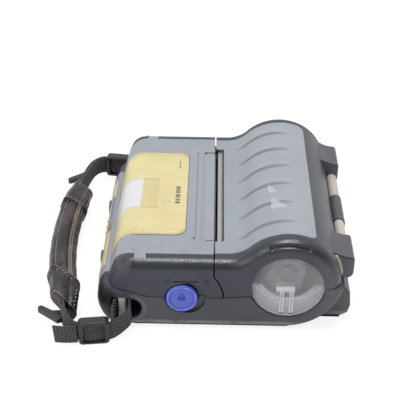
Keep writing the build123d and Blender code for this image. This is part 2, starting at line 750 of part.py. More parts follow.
def gear_y(centre, teeth, turn, bore_r):
    """A spur gear between the two gear planes."""
    points = [(centre[0] + x, centre[1] + z) for x, z in gear_outline(teeth, turn)]
    slab_y(points, *GEAR_Y)
    rod_y(*centre, bore_r, GEAR_Y[0] - 1, GEAR_Y[1] + 1, mode=Mode.SUBTRACT)


def centre_distance(teeth_a, teeth_b):
    return GEAR_MODULE * (teeth_a + teeth_b) / 2 + BACKLASH_CENTRES


IDLER = (PLATEN[0], PLATEN[1] - centre_distance(PLATEN_TEETH, IDLER_TEETH))
MOTOR_ANGLE = 200.0  # of the pinion, seen from the idler
MOTOR = polar(IDLER, centre_distance(IDLER_TEETH, MOTOR_TEETH), MOTOR_ANGLE)
IDLER_TURN = 90.0  # a tooth of the idler points up into a gap of the platen gear
PINION_PHASE = ((MOTOR_ANGLE - IDLER_TURN) / (360 / IDLER_TEETH)) % 1  # idler teeth past the pinion line
PINION_TURN = MOTOR_ANGLE + 180 + (0.5 - PINION_PHASE) * 360 / MOTOR_TEETH * -1

with BuildPart() as platen_shaft:
    rod_y(*PLATEN, PLATEN_SHAFT_R, -70.5, 70.5)
finish(platen_shaft.part, "platen_shaft")

with BuildPart() as platen_rubber:
    rod_y(*PLATEN, PLATEN_R, -56.0, 56.0)
    rod_y(*PLATEN, PLATEN_SHAFT_R, -57.0, 57.0, mode=Mode.SUBTRACT)
finish(platen_rubber.part, "platen_rubber")

with BuildPart() as platen_gear:
    gear_y(PLATEN, PLATEN_TEETH, 270 + 180 / PLATEN_TEETH, PLATEN_SHAFT_R)
finish(platen_gear.part, "platen_gear")

with BuildPart() as platen_bearings:
    for side in (-1, 1):
        ends = sorted((side * 58.2, side * 60.8))
        rod_y(*PLATEN, 4.45, *ends)
        rod_y(*PLATEN, PLATEN_SHAFT_R + RUNNING, ends[0] - 1, ends[1] + 1, mode=Mode.SUBTRACT)
finish(platen_bearings.part, "platen_bearings")

with BuildPart() as tear_bar:
    box_between((13.8, -56.0, 47.65), (17.1, 56.0, 48.25))
    teeth = []
    tooth_pitch = 2.0
    for index in range(56):
        y = -56.0 + index * tooth_pitch
        teeth += [(y, 48.7), (y + tooth_pitch / 2, 49.6)]
    with BuildSketch(Plane.YZ.offset(16.5)):
        with BuildLine():
            Polyline((-56.0, 48.0), *teeth, (56.0, 48.7), (56.0, 48.0), close=True)
        make_face()
    extrude(amount=0.6)
finish(tear_bar.part, "tear_bar")

with BuildPart() as idler_gear:
    gear_y(IDLER, IDLER_TEETH, IDLER_TURN, 1.5 + RUNNING)
finish(idler_gear.part, "idler_gear")

with BuildPart() as motor_pinion:
    gear_y(MOTOR, MOTOR_TEETH, PINION_TURN, 1.0)
finish(motor_pinion.part, "motor_pinion")

with BuildPart() as motor:
    rod_y(*MOTOR, 12.0, 41.0, 60.4)
    chamfer(motor.faces().sort_by(Axis.Y)[0].edges(), 1.0)
    rod_y(*MOTOR, 4.0, 39.4, 41.0)
finish(motor.part, "motor")

with BuildPart() as motor_shaft:
    rod_y(*MOTOR, 1.0, 60.4, GEAR_Y[1] + 0.6)
finish(motor_shaft.part, "motor_shaft")

with BuildPart() as gear_plate:
    with BuildSketch(Plane.XZ.offset(-61.6)):
        with BuildLine():
            Polyline((-7.0, 4.4), (28.0, 4.4), (28.0, 16.0), (23.5, 31.0), (12.0, 31.0), (4.0, 28.0), (-7.0, 26.0), close=True)
        make_face()
        with Locations(MOTOR):
            Circle(2.4, mode=Mode.SUBTRACT)
    extrude(amount=1.1)
    rod_y(*IDLER, 1.5, 61.0, GEAR_Y[1] + 0.8)
finish(gear_plate.part, "gear_plate")

# ---- Print head and latch -----------------------------------------------------------------

HEAD_SPRING_Y = (-36.0, 0.0, 36.0)


def coil(radius, wire_r, pitch, length, start, direction):
    """A compression spring from a point, along a direction."""
    with BuildPart() as spring:
        with BuildLine() as path:
            Helix(pitch=pitch, height=length, radius=radius, center=start, direction=direction)
        with BuildSketch(Plane(origin=path.line @ 0, z_dir=path.line % 0)):
            RegularPolygon(wire_r, 5)
        sweep(path=path.line, is_frenet=True)
    return spring.part


with BuildPart() as print_head:
    box_between((10.6, -55.5, 33.0), (12.2, 55.5, 44.6))
    box_between((12.0, -53.0, 37.2), (12.5, 53.0, 39.4))
finish(print_head.part, "print_head")

with BuildPart() as heat_sink:
    box_between((8.2, -56.5, 32.0), (10.6, 56.5, 45.6))
    for index in range(4):
        box_between((6.0, -56.5, 32.4 + 3.9 * index), (8.4, 56.5, 33.4 + 3.9 * index))
    for y in HEAD_SPRING_Y:
        rod_x(y, 39.6, 3.4, 5.8, 8.2, mode=Mode.SUBTRACT)
finish(heat_sink.part, "heat_sink")

with BuildPart() as head_bracket:
    slab_y([(-2.2, 35.0), (-0.9, 35.0), (-0.9, 46.0), (4.0, 46.0), (4.0, 47.2), (-2.2, 47.2)], -57.0, 57.0)
finish(head_bracket.part, "head_bracket")

with BuildPart() as head_springs:
    for y in HEAD_SPRING_Y:
        add(coil(2.2, 0.4, 2.6, 7.8, (-0.4, y, 39.6), (1, 0, 0)))
finish(head_springs.part, "head_springs")

LATCH = (-1.0, 31.0)
HOOK_Y = (67.5, 70.0)

with BuildPart() as latch_bar:
    rod_y(*LATCH, 2.0, -71.5, 71.5)
    for side in (-1, 1):
        ends = sorted((side * HOOK_Y[0], side * HOOK_Y[1]))
        slab_y([(-3.0, 30.5), (1.4, 29.6), (13.6, 37.0), (13.6, 41.0), (16.4, 41.6), (15.8, 43.6), (11.4, 43.4), (9.6, 38.6), (-2.0, 33.2)], *ends)
    # Finger that the release button's cone pushes
    slab_y([(-3.0, 31.5), (-5.35, 29.0), (-5.35, 21.8), (-3.2, 21.8), (-2.8, 27.6), (0.5, 29.6)], -64.6, -62.6)
finish(latch_bar.part, "latch_bar")

STEM_R = 3.0
CONE_END_Y = -65.0
SPRING_SEAT_Y = -73.3
CAP_BACK_Y = -77.9

with BuildPart() as eject_button:
    # Half section, turned about the button's own axis
    with BuildSketch(Plane(origin=(BUTTON[0], 0, BUTTON[1]), z_dir=(0, 0, 1))):
        with BuildLine():
            Polyline(
                (0, BUTTON_FACE_Y + 0.9),
                (6.6, BUTTON_FACE_Y + 0.9),
                (7.9, BUTTON_FACE_Y + 0.5),
                (8.3, BUTTON_FACE_Y),
                (8.8, BUTTON_FACE_Y),
            )
            ThreePointArc(
                (8.8, BUTTON_FACE_Y),
                polar((8.8, BUTTON_FACE_Y + 1.1), 1.1, -45),
                (BUTTON_R, BUTTON_FACE_Y + 1.1),
            )
            Polyline(
                (BUTTON_R, BUTTON_FACE_Y + 1.1),
                (BUTTON_R, CAP_BACK_Y),
                (BUTTON_R - 1.2, CAP_BACK_Y),
                (BUTTON_R - 1.2, BUTTON_FACE_Y + 2.0),
                (STEM_R, BUTTON_FACE_Y + 2.0),
                (STEM_R, CONE_END_Y - 3.0),
                (STEM_R - 1.0, CONE_END_Y),
                (0, CONE_END_Y),
                (0, BUTTON_FACE_Y + 0.9),
            )
        make_face()
    revolve(axis=Axis((BUTTON[0], 0, BUTTON[1]), (0, 1, 0)))
finish(eject_button.part, "eject_button")

with BuildPart() as button_guide:
    rod_y(*BUTTON, 12.0, -76.7, SPRING_SEAT_Y + 1.4)
    rod_y(*BUTTON, 10.4, -77.0, SPRING_SEAT_Y, mode=Mode.SUBTRACT)
    rod_y(*BUTTON, STEM_R + 0.08, -80.0, -70.0, mode=Mode.SUBTRACT)
finish(button_guide.part, "button_guide")

with BuildPart() as button_spring:
    add(coil(4.4, 0.4, 1.7, 5.1, (BUTTON[0], SPRING_SEAT_Y - 0.45, BUTTON[1]), (0, -1, 0)))
finish(button_spring.part, "button_spring")

# ---- Media bay ----------------------------------------------------------------------------

LINER_END = (74.8, 76.3)
ARM_SLOT_X = (35.3, 41.2)
ARM_TRAVEL = 30.0
ARM_Y = (60.0, 62.4)
HUB = (58.4, 33.5)
RACK_PITCH_X = 34.0  # axis of the pinion between the two racks
RACK_TEETH = 12
RACK_Z = (4.7, 7.5)
rack_reach = GEAR_MODULE * RACK_TEETH / 2 + 0.08


def bay_arc(radius):
    """Lower part of the cradle outline, from its front lip round to the back."""
    ThreePointArc(polar(HUMP, radius, 174), polar(HUMP, radius, 266), polar(HUMP, radius, 358))


with BuildPart() as bay_liner:
    with BuildSketch(Plane.XZ.offset(-LINER_END[1])):
        with BuildLine():
            bay_arc(BAY_R)
            bay_arc(BAY_R + LINER_WALL)
            Line(polar(HUMP, BAY_R, 174), polar(HUMP, BAY_R + LINER_WALL, 174))
            Line(polar(HUMP, BAY_R, 358), polar(HUMP, BAY_R + LINER_WALL, 358))
        make_face()
    extrude(amount=2 * LINER_END[1])
    for side in (-1, 1):
        # Crescent end wall
        with BuildSketch(Plane.XZ.offset(-side * LINER_END[0])):
            with Locations(HUMP):
                Circle(BAY_R + 0.5)
            with Locations((58.0, 41.5)):
                Circle(18.3, mode=Mode.SUBTRACT)
            with Locations((HUMP[0], HUMP[1] - 20)):
                Rectangle(80, 40, mode=Mode.INTERSECT)
        extrude(amount=-side * (LINER_END[1] - LINER_END[0]))
        # Slot that a guide arm's foot slides along
        slot_ends = sorted((side * (ARM_Y[0] - ARM_TRAVEL - 0.6), side * (ARM_Y[1] + 0.6)))
        box_between((ARM_SLOT_X[0], slot_ends[0], 4), (ARM_SLOT_X[1], slot_ends[1], 25), mode=Mode.SUBTRACT)
finish(bay_liner.part, "bay_liner")

with BuildPart() as guide_block:
    box_between((50.4, -74.4, 25.2), (62.2, -71.2, 31.7))
    for x in (53.0, 59.6):
        box_between((x - 1.0, -73.8, 8.95), (x + 1.0, -71.8, 25.4))
        box_between((x - 0.5, -LINER_END[0], 10.5), (x + 0.5, -73.6, 22.8))
finish(guide_block.part, "guide_block")


def rack(side, start, end):
    """A rack along Y whose teeth face the pinion, from start to end, in the part being built."""
    pitch = math.pi * GEAR_MODULE
    line = RACK_PITCH_X + side * rack_reach
    slope = math.tan(math.radians(20))
    tip = 0.85 * GEAR_MODULE
    root = 1.15 * GEAR_MODULE
    points = [(line + side * 4.5, start), (line + side * root, start)]
    count = int((end - start) / pitch)
    first = math.ceil(start / pitch) + 0.5
    for index in range(count - 1):
        middle = (first + index) * pitch
        half = 0.23 * pitch
        points += [
            (line + side * root, middle - half - root * slope),
            (line - side * tip, middle - half + tip * slope),
            (line - side * tip, middle + half - tip * slope),
            (line + side * root, middle + half + root * slope),
        ]
    points += [(line + side * root, end), (line + side * 4.5, end)]
    slab_z(points, *RACK_Z)


def arm_plate(side):
    """The upright plate of a guide arm with its hub bore."""
    ends = sorted((side * ARM_Y[0], side * ARM_Y[1]))
    with BuildSketch(Plane.XZ.offset(-ends[1])) as plate:
        with BuildLine():
            Polyline((38.0, 12.0), (47.0, 6.0), (66.0, 6.0), (67.5, 24.0), (68.2, 34.0), (50.0, 40.0), (44.0, 28.0), (36.4, 20.0), close=True)
        make_face()
        with Locations(HUB):
            Circle(11.0)
        with Locations(HUMP):
            Circle(BAY_R - 0.4, mode=Mode.INTERSECT)
        with Locations((38.4, 15.0)):
            Rectangle(4.4, 14.2)
        with Locations(HUB):
            Circle(2.0 + RUNNING, mode=Mode.SUBTRACT)
    extrude(plate.sketch, amount=ends[1] - ends[0])
    rim = sorted((side * ARM_Y[1], side * (ARM_Y[1] + 1.2)))
    rod_y(*HUB, 9.2, *rim)
    rod_y(*HUB, 7.8, rim[0] - 0.01, rim[1] + 1, mode=Mode.SUBTRACT)
    # The bore stays open through the plate
    rod_y(*HUB, 2.0 + RUNNING, ends[0] - 1, ends[1] + 1, mode=Mode.SUBTRACT)


with BuildPart() as guide_arm_near:
    arm_plate(-1)
    box_between((25.0, -ARM_Y[1], 7.9), (40.6, -ARM_Y[0], 9.6))
    box_between((25.0, -ARM_Y[1], RACK_Z[0]), (27.0, -ARM_Y[0], 9.6))
    rack(-1, -ARM_Y[1], 7.0)
finish(guide_arm_near.part, "guide_arm_near")

with BuildPart() as guide_arm_far:
    arm_plate(1)
    box_between((36.2, ARM_Y[0], RACK_Z[1]), (43.6, ARM_Y[1], 9.6))
    box_between((40.6, ARM_Y[0], RACK_Z[0]), (43.6, ARM_Y[1], 9.6))
    rack(1, -7.0, ARM_Y[1])
finish(guide_arm_far.part, "guide_arm_far")

with BuildPart() as guide_pinion:
    pinion_points = [(RACK_PITCH_X + x, y) for x, y in gear_outline(RACK_TEETH, 0)]
    slab_z(pinion_points, RACK_Z[0] + 0.1, RACK_Z[1] - 0.1)
    rod_z(RACK_PITCH_X, 0, 1.5 + RUNNING, 0, 12, mode=Mode.SUBTRACT)
finish(guide_pinion.part, "guide_pinion")

with BuildPart() as pinion_post:
    rod_z(RACK_PITCH_X, 0, 1.5, 4.3, RACK_Z[1] + 0.3)
    rod_z(RACK_PITCH_X, 0, 3.0, RACK_Z[1] + 0.3, RACK_Z[1] + 1.1)
finish(pinion_post.part, "pinion_post")

for name, side in (("hub_near", -1), ("hub_far", 1)):
    with BuildPart() as hub:
        rod_y(*HUB, 10.5, *sorted((side * 58.4, side * 59.7)))
        rod_y(*HUB, 9.0, *sorted((side * 52.6, side * 58.4)))
        chamfer(hub.edges().filter_by(GeomType.CIRCLE).sort_by(Axis.Y)[-1 if side < 0 else 0], 0.8)
        rod_y(*HUB, 7.4, *sorted((side * 52.0, side * 57.4)), mode=Mode.SUBTRACT)
        rod_y(*HUB, 2.0, *sorted((side * 57.0, side * 62.9)))
        rod_y(*HUB, 3.6, *sorted((side * 62.6, side * 63.2)))
    finish(hub.part, name)

# ---- Electrics and base -------------------------------------------------------------------

with BuildPart() as main_board:
    box_between((-48.0, -54.0, 24.6), (-8.0, 54.0, 26.2))
    # Processor, memory, driver, converter coil, capacitors and connectors
    for x, y, dx, dy, dz in (
        (-30, 10, 14, 14, 1.6),
        (-30, -10, 8, 12, 1.2),
        (-14, 28, 8, 10, 1.6),
        (-38, -34, 11, 11, 5.0),
        (-14, 44, 6, 14, 6.0),
        (-14, -34, 6, 18, 6.0),
        (-43, 30, 5, 22, 4.5),
    ):
        box_between((x - dx / 2, y - dy / 2, 26.2), (x + dx / 2, y + dy / 2, 26.2 + dz))
    for x, y in ((-24, -36), (-24, -46), (-34, 44)):
        rod_z(x, y, 3.6, 26.2, 35.0)
    # Standoffs down to the battery bay
    for x in (-44.0, -12.0):
        for y in (-32.0, 32.0):
            rod_z(x, y, 2.4, 23.0, 24.6)
    # Upright key board behind the front, and port board behind the far side
    box_between((-55.8, -45.0, 9.0), (-54.6, 45.0, 24.0))
    box_between((-17.0, 67.2, 8.0), (7.0, 68.6, 23.0))
finish(main_board.part, "main_board")

with BuildPart() as power_jack:
    box_between((-15.0, 68.6, 10.4), (-6.6, 76.6, 19.4))
    rod_y(-10.8, 15.0, 2.8, 70.0, 77.0, mode=Mode.SUBTRACT)
    rod_y(-10.8, 15.0, 0.9, 69.9, 75.6)
finish(power_jack.part, "power_jack")

with BuildPart() as data_port:
    box_between((-4.2, 68.6, 11.0), (4.2, 76.6, 18.6))
    box_between((-3.2, 70.4, 12.4), (3.2, 77.0, 17.2), mode=Mode.SUBTRACT)
    box_between((-2.4, 70.3, 14.3), (2.4, 75.4, 15.3))
finish(data_port.part, "data_port")

FLAP_PIVOT = (79.2, 9.9)
FLAP_BEAD_R = 0.9

with BuildPart() as port_cover:
    box_between((PORT_X[0] + 0.4, 78.0, FLAP_PIVOT[1] + 0.1), (PORT_X[1] - 0.4, 80.3, PORT_Z[1] - 0.4))
    fillet(port_cover.edges().filter_by(Axis.Y).group_by(Axis.Z)[-1], 2.0)
    rod_x(*FLAP_PIVOT, FLAP_BEAD_R, PORT_X[0] + 0.4, PORT_X[1] - 0.4)
    # Finger tab
    box_between((2.0, 80.0, 17.0), (4.6, 81.4, 19.0))
finish(port_cover.part, "port_cover")

with BuildPart() as battery_pack:
    box_between(*BATTERY)
    chamfer(battery_pack.faces().sort_by(Axis.Z)[0].edges(), 0.8)
    # Latch groove, contact recess and finger ribs
    box_between((5.0, -4.8, 2.2), (8.0, 4.8, 21.0), mode=Mode.SUBTRACT)
    box_between((-44.0, -20.0, 18.8), (-36.0, 20.0, 21.0), mode=Mode.SUBTRACT)
    for index in range(5):
        box_between((-42.0 + 3.0 * index, -14.0, 0.0), (-40.8 + 3.0 * index, 14.0, 1.6), mode=Mode.SUBTRACT)
finish(battery_pack.part, "battery_pack")

with BuildPart() as battery_latch:
    box_between((9.0, -8.0, 0.9), (17.4, 8.0, 3.4))
    box_between((5.4, -4.2, 3.0), (10.0, 4.2, 5.2))
    for index in range(3):
        box_between((11.0 + 2.0 * index, -6.5, 0.5), (12.0 + 2.0 * index, 6.5, 1.5), mode=Mode.SUBTRACT)
    box_between((10.0, -9.6, 4.6), (17.4, 9.6, 5.4))
    box_between((10.0, -8.0, 3.0), (17.4, 8.0, 4.8))
finish(battery_latch.part, "battery_latch")

RAIL_X = (-42.0, 62.0)
RAIL_Y = (66.5, 76.4)

with BuildPart() as rubber_feet:
    with BuildSketch():
        for side in (-1, 1):
            with Locations(((RAIL_X[0] + RAIL_X[1]) / 2, side * (RAIL_Y[0] + RAIL_Y[1]) / 2)):
                SlotOverall(RAIL_X[1] - RAIL_X[0], RAIL_Y[1] - RAIL_Y[0])
    extrude(amount=BASE_Z)
    for side in (-1, 1):
        ends = sorted((side * 40.0, side * 66.0))
        box_between((80.5, ends[0], 0), (92.5, ends[1], 3.0))
finish(rubber_feet.part, "rubber_feet")

with BuildPart() as case_screws:
    for x, y in SCREWS:
        rod_z(x, y, 2.6, 1.6, 3.2)
        rod_z(x, y, 1.4, 3.2, 9.6)
        with BuildSketch(Plane.XY.offset(1.6)):
            with Locations((x, y)):
                RegularPolygon(1.2, 6)
        extrude(amount=0.9, mode=Mode.SUBTRACT)
finish(case_screws.part, "case_screws")

# ---- Strap --------------------------------------------------------------------------------

with BuildPart() as lug_bars:
    for side in (-1, 1):
        rod_z(LUG[0], side * LUG[1], BAR_R, POCKET_Z[0], POCKET_Z[1])
finish(lug_bars.part, "lug_bars")

STRAP_OUT = (-52.4, 92.9)  # where the two layers close up, at the buckle
SPLIT_Y = 82.1  # the fixed loop ends here and the swinging strap starts
SPLIT_GAP = 0.2  # each side of the split
DOUBLE = 2 * WEBBING
LOOP_R = BAR_R + 0.05 + WEBBING / 2  # middle of the webbing round its bar
LEG_IN = ((-49.2, 78.4), (-50.0, 82.4), (-50.2, 86.4), (-50.1, 89.6), (-50.9, 91.4), (-53.0, 92.1))
LEG_OUT = ((-40.5, 77.6), (-40.2, 82.4), (-41.0, 86.4), (-45.6, 90.3), (-50.6, 93.2), (-53.0, 93.85))
LEG_DROP = (0.0, 0.0, 0.25, 0.65, 1.0, 1.0)  # share of the way down to the buckle at each station

with BuildPart() as strap_loops:
    for side in (-1, 1):
        around = [(LUG[0] + LOOP_R * dx, side * (LUG[1] - LOOP_R * dy)) for dx, dy in ((-1, 0), (0, 1), (1, 0))]
        with BuildSketch(Plane.XY.offset(LUG_Z - WEBBING_HEIGHT / 2)):
            with BuildLine() as layer:
                Spline(*[(x, side * y) for x, y in reversed(LEG_IN[:3])], around[0])
                ThreePointArc(*around)
                Spline(around[2], *[(x, side * y) for x, y in LEG_OUT[:3]])
            trace(layer.line, line_width=WEBBING)
        extrude(amount=WEBBING_HEIGHT)
    box_between((-70, -(SPLIT_Y - SPLIT_GAP), 0), (-30, SPLIT_Y - SPLIT_GAP, 40), mode=Mode.INTERSECT)
finish(strap_loops.part, "strap_loops")


def band(stations, thickness, height):
    """Webbing on edge through plan points with heights, in the part being built."""
    sections = []
    for index, (x, y, z) in enumerate(stations):
        before = stations[max(index - 1, 0)]
        after = stations[min(index + 1, len(stations) - 1)]
        run = math.hypot(after[0] - before[0], after[1] - before[1])
        tangent = ((after[0] - before[0]) / run, (after[1] - before[1]) / run)
        frame = Plane(origin=(x, y, z), x_dir=(-tangent[1], tangent[0], 0), z_dir=(*tangent, 0))
        with BuildSketch(frame) as section:
            Rectangle(thickness, height)
        sections.append(section.sketch.face())
    loft(sections, ruled=True)


def strap_leg(leg, side, z_buckle):
    """Stations of one layer from the pocket to the buckle, going down to the buckle's height."""
    drop = z_buckle - LUG_Z
    return [
        (x, side * y, LUG_Z + drop * share) for (x, y), share in zip(leg, LEG_DROP)
    ]


def strap_route(side, z_buckle):
    """Stations from the buckle to the end of the grip."""
    return [
        (STRAP_OUT[0], side * STRAP_OUT[1], z_buckle),
        (-70.2, side * 95.2, z_buckle),
        (-75.0, side * 92.8, z_buckle + 0.6),
        (-79.6, side * 87.0, (z_buckle + PAD_MIDDLE) / 2),
        (-82.4, side * 78.0, PAD_MIDDLE - 0.6),
        (-82.8, side * (TAB_Y[1] + 1.5), PAD_MIDDLE),
        (-82.8, side * (TAB_Y[1] + 0.1), PAD_MIDDLE),
    ]


TAB_Y = (47.0, 72.0)
TAB_WALL = 1.5
NEAR_BUCKLE_Z = 8.3
FAR_BUCKLE_Z = 13.4
BUCKLE_LENGTH = 19.0
BUCKLE_HEIGHT = 16.6
BUCKLE_THICKNESS = 7.4

for name, side, level in (("webbing_near", -1, NEAR_BUCKLE_Z), ("webbing_far", 1, FAR_BUCKLE_Z)):
    with BuildPart() as webbing:
        band(strap_route(side, level), DOUBLE, WEBBING_HEIGHT)
        for leg in (LEG_IN, LEG_OUT):
            band(strap_leg(leg, side, level), WEBBING, WEBBING_HEIGHT)
        near_y = SPLIT_Y + SPLIT_GAP
        box_between((-70, -near_y, 0), (-35, near_y, 40), mode=Mode.SUBTRACT)
    finish(webbing.part, name)

for name, side, level in (("buckle_near", -1, NEAR_BUCKLE_Z), ("buckle_far", 1, FAR_BUCKLE_Z)):
    middle = ((STRAP_OUT[0] - 70.2) / 2, side * (STRAP_OUT[1] + 95.2) / 2, level)
    run = (STRAP_OUT[0] + 70.2, -side * (95.2 - STRAP_OUT[1]), 0)
    outward = Plane(origin=middle, x_dir=run, z_dir=(run[1], -run[0], 0))
    with BuildPart() as buckle:
        with BuildSketch(outward):
            RectangleRounded(BUCKLE_LENGTH, BUCKLE_HEIGHT, 2.6)
        extrude(amount=BUCKLE_THICKNESS / 2, both=True)
        sides = buckle.faces().sort_by(Axis.Y)
        fillet(sides[0].edges() + sides[-1].edges(), 1.1)
        with BuildSketch(outward):
            RectangleRounded(BUCKLE_LENGTH - 5.6, BUCKLE_HEIGHT - 3.6, 1.0)
        extrude(amount=BUCKLE_THICKNESS, both=True, mode=Mode.SUBTRACT)
        with BuildSketch(outward):
            Rectangle(BUCKLE_LENGTH + 2, BUCKLE_HEIGHT - 3.0)
        extrude(amount=WEBBING + 0.8, both=True, mode=Mode.SUBTRACT)
    finish(buckle.part, name)

with BuildPart() as webbing_tail:
    band([(-71.3, -97.7, 8.2), (-77.0, -97.9, 7.9), (-85.4, -96.6, 7.2)], WEBBING, WEBBING_HEIGHT)
finish(webbing_tail.part, "webbing_tail")

HOOK_OUTLINE = (
    (-84.2, 78.6),
    (-81.75, 86.6),
    (-84.5, 88.2),
    (-98.2, 77.4),
    (-98.0, 75.2),
    (-96.2, 74.2),
    (-88.5, 79.2),
)

for name, side in (("hook_near", -1), ("hook_far", 1)):
    with BuildPart() as hook:
        slab_z([(x, side * y) for x, y in HOOK_OUTLINE], 8.2, 11.4)
        fillet(hook.edges().filter_by(Axis.Z), 0.6)
    finish(hook.part, name)


def pad_form(grow, end_y):
    """A bowed, tilted bar with rounded long edges, cut square at both ends."""
    centre_x = PAD_OUTER_X + PAD_ARC
    with BuildPart() as form:
        with BuildSketch(Plane.XZ) as section:
            with Locations(Location((PAD_LINE_X, PAD_MIDDLE), PAD_TILT)):
                RectangleRounded(PAD_SECTION[0] + 2 * grow, PAD_SECTION[1] + 2 * grow, PAD_ROUND + grow)
        around = Axis((centre_x, 0, 0), (0, 0, 1))
        revolve(section.sketch, axis=around, revolution_arc=16)
        revolve(section.sketch, axis=around, revolution_arc=-16)
        box_between((-130, -end_y, -10), (-40, end_y, 60), mode=Mode.INTERSECT)
    return form.part


PAD_BODY = pad_form(0, PAD_HALF)
PAD_ROOM = pad_form(0.03, PAD_HALF)
TAB_BODY = pad_form(TAB_WALL, TAB_Y[1])

with BuildPart() as grip_pad:
    add(PAD_BODY)
finish(grip_pad.part, "grip_pad")

with BuildPart() as grip_tabs:
    add(TAB_BODY)
    box_between((-120, -TAB_Y[0], 0), (-60, TAB_Y[0], 40), mode=Mode.SUBTRACT)
    add(PAD_ROOM, mode=Mode.SUBTRACT)
finish(grip_tabs.part, "grip_tabs")
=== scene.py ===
import math

import bmesh
import bpy
from mathutils import Matrix, Vector
from mathutils.bvhtree import BVHTree


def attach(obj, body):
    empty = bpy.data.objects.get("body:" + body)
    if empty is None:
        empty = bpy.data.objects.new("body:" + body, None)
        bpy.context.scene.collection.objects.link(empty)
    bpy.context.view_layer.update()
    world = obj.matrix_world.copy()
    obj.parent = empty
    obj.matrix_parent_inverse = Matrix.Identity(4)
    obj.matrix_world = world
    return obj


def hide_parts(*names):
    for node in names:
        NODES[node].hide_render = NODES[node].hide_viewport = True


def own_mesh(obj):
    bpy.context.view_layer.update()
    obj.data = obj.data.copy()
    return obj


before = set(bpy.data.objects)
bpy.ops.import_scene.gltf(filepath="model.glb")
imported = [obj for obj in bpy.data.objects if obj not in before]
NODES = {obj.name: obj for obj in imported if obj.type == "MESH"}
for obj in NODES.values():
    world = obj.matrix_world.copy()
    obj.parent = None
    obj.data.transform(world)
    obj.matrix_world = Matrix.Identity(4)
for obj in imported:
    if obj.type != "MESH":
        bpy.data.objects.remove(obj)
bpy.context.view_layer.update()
MM = 0.001
UP = Vector((0, 0, 1))

# Centres in X and Z, in millimetres
BUTTON = (-7.7, 23.7)
WINDOW = (57.4, 33.1)
POCKET = (-40.4, 15.1)

DECK_TOP = 50.7  # Z of the label on the deck
CLIP_Y = -76.95  # the clip stands between the near window and the end of the bay


def linear(r, g, b):
    """A colour as the eye sees it, on the shader's own scale."""

    def channel(v):
        v /= 255
        return v / 12.92 if v <= 0.04045 else ((v + 0.055) / 1.055) ** 2.4

    return (channel(r), channel(g), channel(b), 1.0)


def shade(colour, factor, lift=0.0):
    return tuple(min(1.0, factor * c + lift) for c in colour[:3]) + (1.0,)


CHARCOAL = linear(64, 66, 78)
DECK_GREY = linear(168, 173, 182)
YELLOW = (231, 217, 160)

# ---- Writing node trees -------------------------------------------------------------------


def put(tree, kind, wires=None, **settings):
    """A node in a tree. Wires gives each input a value, or a socket to link from."""
    node = tree.nodes.new(kind)
    for key, value in settings.items():
        setattr(node, key, value)
    for key, value in (wires or {}).items():
        value = getattr(value, "socket", value)
        if isinstance(value, bpy.types.NodeSocket):
            tree.links.new(value, node.inputs[key])
        else:
            node.inputs[key].default_value = value
    return node


def tap(tree, kind, wires=None, out=0, **settings):
    """One output of a new node, as a wire."""
    return Wire(tree, put(tree, kind, wires, **settings).outputs[out])


class Wire:
    """A value in a node tree. Sums written with it become math nodes."""

    def __init__(self, tree, socket):
        self.tree, self.socket = tree, socket

    def math(self, operation, *others, clamp=False):
        wires = dict(enumerate((self, *others)))
        return tap(self.tree, "ShaderNodeMath", wires, operation=operation, use_clamp=clamp)

    def __mul__(self, other):
        return self.math("MULTIPLY", other)

    def __add__(self, other):
        return self.math("ADD", other)

    def __sub__(self, other):
        return self.math("SUBTRACT", other)

    def __pow__(self, other):
        return self.math("POWER", other)

    def level(self, low, high):
        """Stretched so that low gives 0 and high gives 1."""
        return tap(self.tree, "ShaderNodeMapRange", {"Value": self, "From Min": low, "From Max": high})

    def between(self, low, high, soft):
        """1 between two limits, with soft edges."""
        return self.level(low - soft, low + soft) * self.level(high + soft, high - soft)

    def pick(self, first, second):
        """The first colour where this is 0 and the second where it is 1."""
        return tap(self.tree, "ShaderNodeMix", {0: self, 6: first, 7: second}, 2, data_type="RGBA")


def painted(tone, *layers):
    """A colour with others laid over it, each where its mask is 1."""
    for mask, *colour in layers:
        tone = mask.pick(tone, linear(*colour))
    return tone


def spot(tree):
    """The place on the object, in metres."""
    return tap(tree, "ShaderNodeTexCoord", out="Object")


def split(vector):
    parts = put(vector.tree, "ShaderNodeSeparateXYZ", {0: vector}).outputs
    return [Wire(vector.tree, part) for part in parts]


def distance(place, centre):
    """How far a place lies from a centre in X and Z."""
    x, _, z = split(place)
    return ((x - centre[0] * MM) ** 2.0 + (z - centre[1] * MM) ** 2.0) ** 0.5


def stretch(vector, *factors):
    return tap(vector.tree, "ShaderNodeVectorMath", {0: vector, 1: factors}, operation="MULTIPLY")


def noise(vector, scale, detail=2.0, rough=0.5):
    wires = {"Vector": vector, "Scale": scale, "Detail": detail, "Roughness": rough}
    return tap(vector.tree, "ShaderNodeTexNoise", wires, "Fac")


def bump(height, strength, depth):
    return tap(height.tree, "ShaderNodeBump", {"Strength": strength, "Distance": depth, "Height": height})


def group(name, inputs, outputs, fill):
    """A shader node group. fill gets the place on the object and the inputs, and gives the outputs."""
    tree = bpy.data.node_groups.new(name, "ShaderNodeTree")
    for socket, value in inputs.items():
        kind = "NodeSocketVector" if value is None else "NodeSocketFloat"
        item = tree.interface.new_socket(name=socket, in_out="INPUT", socket_type=kind)
        if value is not None:
            item.default_value = value
    for socket in outputs:
        kind = "NodeSocketVector" if socket == "Normal" else "NodeSocketFloat"
        tree.interface.new_socket(name=socket, in_out="OUTPUT", socket_type=kind)
    given = {socket.name: Wire(tree, socket) for socket in tree.nodes.new("NodeGroupInput").outputs}
    way_out = tree.nodes.new("NodeGroupOutput")
    for index, wire in enumerate(fill(spot(tree), given)):
        tree.links.new(wire.socket, way_out.inputs[index])
    return tree


